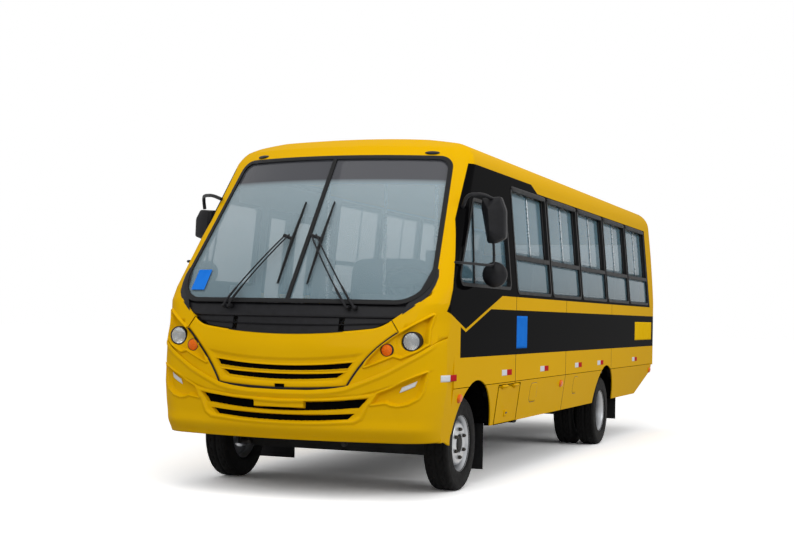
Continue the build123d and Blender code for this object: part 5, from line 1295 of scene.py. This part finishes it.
wipers = {
    "pivotZ": 1.45, "armZ": 2.02, "tipZ": 2.3, "footZ": 1.63, "armGap": 0.036, "armOut": 0.034, "armBow": 0.03,
    "armEnd": 0.012,
    "sleeve": 0.28, "sleeveR": 0.0095, "armWide": 0.0062, "armTall": 0.0055,
    "spindle": (0.02, 0.02, 0.019, 0.018, 0.016, 0.015, 0.014, 0.011, 0.006),
    "rows": {"Left": (0.529, 0.06, 0.128), "Right": (-0.518, -0.172, -0.122)},
}
for label, (pivotX, endX, bladeX) in wipers["rows"].items():
    # parallel arms from two spindles, a bracket, and a blade of spine and lip that thickens towards its middle
    away = (0, -1, 0.4)
    t = np.linspace(0, 1, 33)
    armZ = wipers["pivotZ"] + (wipers["armZ"] - wipers["pivotZ"]) * t
    armLift = wipers["armOut"] + wipers["armBow"] * np.sin(np.pi * t) ** 0.7 + wipers["armEnd"] * t
    wide, tall = (np.where(t < wipers["sleeve"], wipers["sleeveR"], wipers[k]) for k in ("armWide", "armTall"))
    arms = []
    for shift in (-0.5, 0.5):
        armX = pivotX + (endX - pivotX) * t + shift * wipers["armGap"] * (1.4 - 0.4 * t)
        arms.append(tube(noseSurface(armX, armZ + shift * 0.01, armLift), wide, tall, away))
        spindle = noseSurface(np.full(9, armX[0]), np.full(9, armZ[0]), np.linspace(-0.01, 0.05, 9))
        arms.append(tube(spindle, wipers["spindle"], wipers["spindle"], (0, 0, 1)))
    bracketX = np.linspace(endX - 0.03, bladeX, 12)
    bracketZ = np.linspace(wipers["armZ"], wipers["armZ"] - 0.03, 12)
    arms.append(tube(noseSurface(bracketX, bracketZ, np.linspace(0.05, 0.034, 12)), 0.014, 0.008, away))
    bladeZ = wipers["footZ"] + (wipers["tipZ"] - wipers["footZ"]) * t
    swell = 1 - np.abs(2 * t - 1)
    spine = noseSurface(np.full(33, bladeX), bladeZ, 0.021 + 0.008 * swell)
    wipe = noseSurface(np.full(33, bladeX), bladeZ, 0.01 + 0 * t)
    blade = joined(
        tube(spine, 0.006 + 0.006 * swell, 0.006 + 0.011 * swell, away), tube(wipe, 0.003, 0.009, away),
    )
    addPiece("wiperArms" + label, *joined(*arms), "blackAbs", "body", "wipers", angle=45)
    addPiece("wiperBlade" + label, *blade, "epdmRubber", "body", "wipers", angle=45)

mirror = {
    "outline": (
        (1.207, 2.364), (1.361, 2.375), (1.405, 2.262), (1.408, 2.04), (1.325, 1.998), (1.256, 1.998),
        (1.196, 2.297),
    ),
    "ridge": ((1.272, 2.27), (1.288, 2.09)),
    "y": -3.265,
    "roundX": 1.315,
    "roundZ": 1.745,
    "upper": {
        1: (
            (1.04, -3.46, 2.25), (1.12, -3.5, 2.265), (1.15, -3.53, 2.37), (1.25, -3.4, 2.385),
            (1.3, -3.27, 2.35),
        ),
        -1: (
            (1.04, -3.53, 2.36), (1.16, -3.47, 2.4), (1.3, -3.36, 2.41), (1.345, -3.3, 2.4),
            (1.345, -3.27, 2.3),
        ),
    },
    "lower": (
        (1.1, -3.8, 1.815), (1.19, -3.83, 1.818), (1.31, -3.42, 1.815), (1.31, -3.27, 1.82),
        (1.31, -3.265, 1.9), (1.3, -3.265, 2.02),
    ),
}


def makeMirror(side, label):
    # head: its outline drawn in towards a ridge like a hipped roof; round mirror turned; both on bent tubes
    corners = np.array(mirror["outline"])
    if side < 0:
        corners = np.stack([corners[:, 0] + 0.02, 2.03 + (corners[:, 1] - 1.998) * 0.7], -1)
    loop = np.vstack([corners, corners[:1]])
    outline = runPath(np.column_stack([loop, 0 * loop[:, 0]]), 121, 0.016)[:-1, :2]
    (ax, az), (bx, bz) = mirror["ridge"]
    dx, dz = bx - ax, bz - az
    t = np.clip(((outline[:, 0] - ax) * dx + (outline[:, 1] - az) * dz) / (dx**2 + dz**2), 0, 1)
    ridge = np.stack([ax + dx * t, az + dz * t], -1)
    rings = np.array(
        [
            (0.0, -0.075), (0.5, -0.06), (0.9, -0.032), (1.0, -0.015), (1.0, 0.03), (0.97, 0.037),
            (0.93, 0.037), (0.92, 0.03), (0.0, 0.03),
        ]
    )
    flat = ridge + rings[:, :1, None] * (outline - ridge)
    shell = np.stack(
        [side * flat[..., 0], mirror["y"] + np.repeat(rings[:, 1:], len(outline), 1), flat[..., 1]], -1,
    )
    addPiece(
        "mirrorHead" + label, shell, gridFaces(len(rings), len(outline), wrapColumns=True), "blackAbs", "body",
        "mirrors", angle=22,
    )
    scales = np.array([0.92, 0.6, 0.3, 0.0])
    flat = ridge + scales[:, None, None] * (outline - ridge)
    depth = mirror["y"] + 0.032 + 0.003 * (1 - scales**2)
    pane = np.stack([side * flat[..., 0], np.repeat(depth[:, None], len(outline), 1), flat[..., 1]], -1)
    addPiece(
        "mirrorPane" + label, pane, gridFaces(4, len(outline), wrapColumns=True), "mirrorGlass", "body",
        "mirrors",
    )
    turns = np.linspace(0, 2 * np.pi, 61)[:-1]
    back = np.array(
        [
            (0.0, 0.036), (0.045, 0.033), (0.08, 0.022), (0.1, 0.006), (0.104, -0.006), (0.103, -0.022),
            (0.097, -0.024), (0.095, -0.02),
        ]
    )
    lens = np.array([(0.0, -0.03), (0.05, -0.027), (0.096, -0.019)])
    middle = (side * mirror["roundX"], mirror["y"], mirror["roundZ"])
    addPiece("roundMirror" + label, *facing(back, turns, *middle), "blackAbs", "body", "mirrors")
    addPiece("roundPane" + label, *facing(lens, turns, *middle), "mirrorGlass", "body", "mirrors")
    upper = tube(runPath(np.array(mirror["upper"][side]) * (side, 1, 1), 60, 0.06), 0.015, 0.015, (0.3, 0.2, 1))
    lower = tube(runPath(np.array(mirror["lower"]) * (side, 1, 1), 80, 0.05), 0.011, 0.011, (0.9, 0.3, 0.2))
    addPiece("mirrorArms" + label, *joined(upper, lower), "blackAbs", "body", "mirrors", angle=50)


roofMarker = {"s": 0.79, "z": 2.742, "halfS": 0.062, "halfZ": 0.017, "swell": 0.026, "seat": 0.002}
for side, label in sides:
    makeMirror(side, label)
    # roof marker: low dome at the windscreen's upper corner, rising as the root of 1 less the radius cubed
    u, v = np.meshgrid(np.linspace(0, 1, 12), np.linspace(0, 2 * np.pi, 37)[:-1], indexing="ij")
    s = roofMarker["s"] + roofMarker["halfS"] * u * np.cos(v)
    z = roofMarker["z"] + roofMarker["halfZ"] * u * np.sin(v)
    lift = roofMarker["swell"] * np.sqrt(np.maximum(0, 1 - u**3)) - roofMarker["seat"]
    points = noseSurface(s, z, lift) * (side, 1, 1)
    addPiece("roofMarker" + label, points, gridFaces(12, 36, wrapColumns=True), "blackAbs", "body")
u, v = spread((-0.975, -0.825, 12), (1.575, 1.74, 12))
# blank blue sticker on the glass
addPiece("screenSticker", noseSurface(u, v, 0.002 + 0 * u), gridFaces(12, 12), "blueVinyl", "body")
print("wipers and mirrors made")


def rearPlate(name, span, rise, lift, material, swell=0.0):
    # plate or lamp on the rear wall: edges falling in step with the edge distance, middle swollen as a
    # superellipse
    u, v = spread((-1, 1, 25), (-1, 1, 15))
    halfX, halfZ = (span[1] - span[0]) / 2, (rise[1] - rise[0]) / 2
    x, z = (span[0] + span[1]) / 2 + halfX * u, (rise[0] + rise[1]) / 2 + halfZ * v
    edge = np.minimum((1 - np.abs(u)) * halfX, (1 - np.abs(v)) * halfZ)
    out = lift * np.minimum(1, edge / 0.003 + 0.1) + swell * np.sqrt(np.maximum(0, (1 - u**6) * (1 - v**4)))
    return addPiece(
        name, np.stack([x, rearY(z) + out, z], -1), gridFaces(15, 25), material, "body", thick=0.002,
    )


rear = {  # left to right, low to high, lift, finish, swell
    "plateHolder": (-0.27, 0.27, 1.1, 1.27, 0.004, "blackAbs", 0.0),
    "blankPlate": (-0.2, 0.2, 1.12, 1.25, 0.007, "whitePlate", 0.0),
    "plateLampLeft": (0.09, 0.15, 1.275, 1.3, 0.004, "clearLens", 0.012),
    "plateLampRight": (-0.15, -0.09, 1.275, 1.3, 0.004, "clearLens", 0.012),
    "highBrakeLamp": (-0.16, 0.16, 2.5, 2.54, 0.004, "redLens", 0.016),
    "topMarkerLeft": (0.78, 0.88, 2.56, 2.6, 0.003, "redLens", 0.018),
    "topMarkerRight": (-0.88, -0.78, 2.56, 2.6, 0.003, "redLens", 0.018),
    "rearTapeLeft": (0.6, 0.9, 0.905, 0.955, 0.0265, "redReflector", 0.0),
    "rearTapeRight": (-0.9, -0.6, 0.905, 0.955, 0.0265, "redReflector", 0.0),
    "hatchHandle": (-0.07, 0.07, 1.4, 1.43, 0.004, "blackAbs", 0.018),
}
for name, (x0, x1, z0, z1, lift, material, swell) in rear.items():
    rearPlate(name, (x0, x1), (z0, z1), lift, material, swell)
hatchEdge = [(-0.62, 1.58), (-0.62, 1.03), (0.62, 1.03), (0.62, 1.58), (-0.62, 1.58)]
for number, ((ax, az), (bx, bz)) in enumerate(zip(hatchEdge[:-1], hatchEdge[1:])):
    # joint lines of the rear access panel
    wide, tall = 0.003 * (az != bz), 0.003 * (ax != bx)
    span, rise = (min(ax, bx) - wide, max(ax, bx) + wide), (min(az, bz) - tall, max(az, bz) + tall)
    rearPlate(f"rearSeam{number}", span, rise, 0.001, "gapBlack")
bead = {
    "edges": {"door_front": -1.998, "door_rear": -1.972}, "low": 0.52, "high": 2.33, "in": 0.02, "wide": 0.007,
    "deep": 0.016,
}
for body, y in bead["edges"].items():  # rubber bead down each leaf's meeting edge
    z = np.linspace(bead["low"], bead["high"], 24)
    path = np.stack([sideX(z, -1) + bead["in"], np.full_like(z, y), z], -1)
    addPiece(body + "Bead", *tube(path, bead["wide"], bead["deep"], (1, 0, 0)), "epdmRubber", body)
print("rear and door details made")

# camera where the photograph was taken, found from the bus's own proportions
view = {
    "place": (4.53845, -13.7989, 1.38032), "yaw": 21.1006, "pitch": 1.6334, "roll": 1.1732, "focal": 1363.58,
    "width": 794,
}


def addCamera():
    camera = bpy.data.objects.new("camera", bpy.data.cameras.new("camera"))
    camera.data.sensor_width = 36
    camera.data.lens = view["focal"] * 36 / view["width"]
    camera.data.clip_end = 200
    yaw, pitch, roll = (math.radians(view[k]) for k in ("yaw", "pitch", "roll"))
    ahead = Vector((-math.sin(yaw) * math.cos(pitch), math.cos(yaw) * math.cos(pitch), math.sin(pitch)))
    right = Vector((math.cos(yaw), math.sin(yaw), 0))
    up = right.cross(ahead)
    tiltedRight = math.cos(roll) * right + math.sin(roll) * up
    tiltedUp = -math.sin(roll) * right + math.cos(roll) * up
    turn = Matrix((tiltedRight, tiltedUp, -ahead)).transposed().to_4x4()
    camera.matrix_world = Matrix.Translation(view["place"]) @ turn
    bpy.context.scene.collection.objects.link(camera)
    bpy.context.scene.camera = camera


stage = {"floorDiffuse": 0.35, "floorShown": 1.45, "worldDiffuse": 0.7}


def seenDirectly(tree):  # 1 for camera, mirrored and transmitted rays, 0 for light on the object
    rays = addNode(tree, "ShaderNodeLightPath").outputs
    either = addNode(
        tree, "ShaderNodeMath", {0: rays["Is Camera Ray"], 1: rays["Is Glossy Ray"]}, operation="MAXIMUM",
    )
    return addNode(
        tree, "ShaderNodeMath", {0: either.outputs[0], 1: rays["Is Transmission Ray"]}, operation="MAXIMUM",
    ).outputs[0]


def addFloor():
    # floor disc: rings of points at growing radius, white to the camera and pale to the light
    turns, rings = np.meshgrid(np.linspace(0, 2 * np.pi, 97)[:-1], np.array([0.0, 2.0, 8.0, 30.0, 120.0]))
    points = np.stack(
        [rings * np.cos(turns), rings * np.sin(turns), np.full_like(rings, -0.001)], -1,
    ).reshape(-1, 3)
    index = np.arange(points.shape[0]).reshape(rings.shape)
    nextIndex = np.roll(index, -1, 1)
    quads = np.stack([index[:-1], nextIndex[:-1], nextIndex[1:], index[1:]], -1).reshape(-1, 4)[:, ::-1]
    mesh = bpy.data.meshes.new("floor")
    mesh.from_pydata(points.tolist(), [], quads.tolist())
    floor = bpy.data.objects.new("floor", mesh)
    bpy.context.scene.collection.objects.link(floor)
    material, tree, shader, _ = startMaterial("paperFloor", Roughness=0.9, Specular_IOR_Level=0.0)
    shown = addNode(
        tree, "ShaderNodeMapRange", {0: seenDirectly(tree), 3: stage["floorDiffuse"], 4: stage["floorShown"]},
    )
    tree.links.new(shown.outputs[0], shader.inputs["Base Color"])
    mesh.materials.append(material)


def addLight(name, place, target, size, power):
    lamp = bpy.data.lights.new(name, "AREA")
    lamp.shape = "RECTANGLE"
    lamp.size, lamp.size_y = size
    lamp.energy = power
    holder = bpy.data.objects.new(name, lamp)
    turn = (Vector(target) - Vector(place)).to_track_quat("-Z", "Y")
    holder.matrix_world = Matrix.Translation(place) @ turn.to_matrix().to_4x4()
    bpy.context.scene.collection.objects.link(holder)


def addWorld():
    world = bpy.data.worlds.new("studio")
    world.use_nodes = True
    tree = world.node_tree
    tree.nodes.clear()
    strength = addNode(tree, "ShaderNodeMapRange", {0: seenDirectly(tree), 3: stage["worldDiffuse"], 4: 1.0})
    back = addNode(tree, "ShaderNodeBackground", {"Color": (1, 1, 1, 1), "Strength": strength.outputs[0]})
    addNode(tree, "ShaderNodeOutputWorld", {"Surface": back.outputs[0]})
    bpy.context.scene.world = world


addCamera()
addFloor()
addWorld()
addLight("overhead", (1.0, -6.0, 9.0), (0, -1.0, 0.5), (7, 9), 230)
addLight("frontFill", (1.5, -13.0, 6.0), (0, -3.0, 1.2), (7, 5), 240)
addLight("sideFill", (11.0, -1.0, 6.0), (0, 0, 1.2), (10, 4), 420)
bpy.context.scene.view_settings.view_transform = "Standard"
print("stage set")
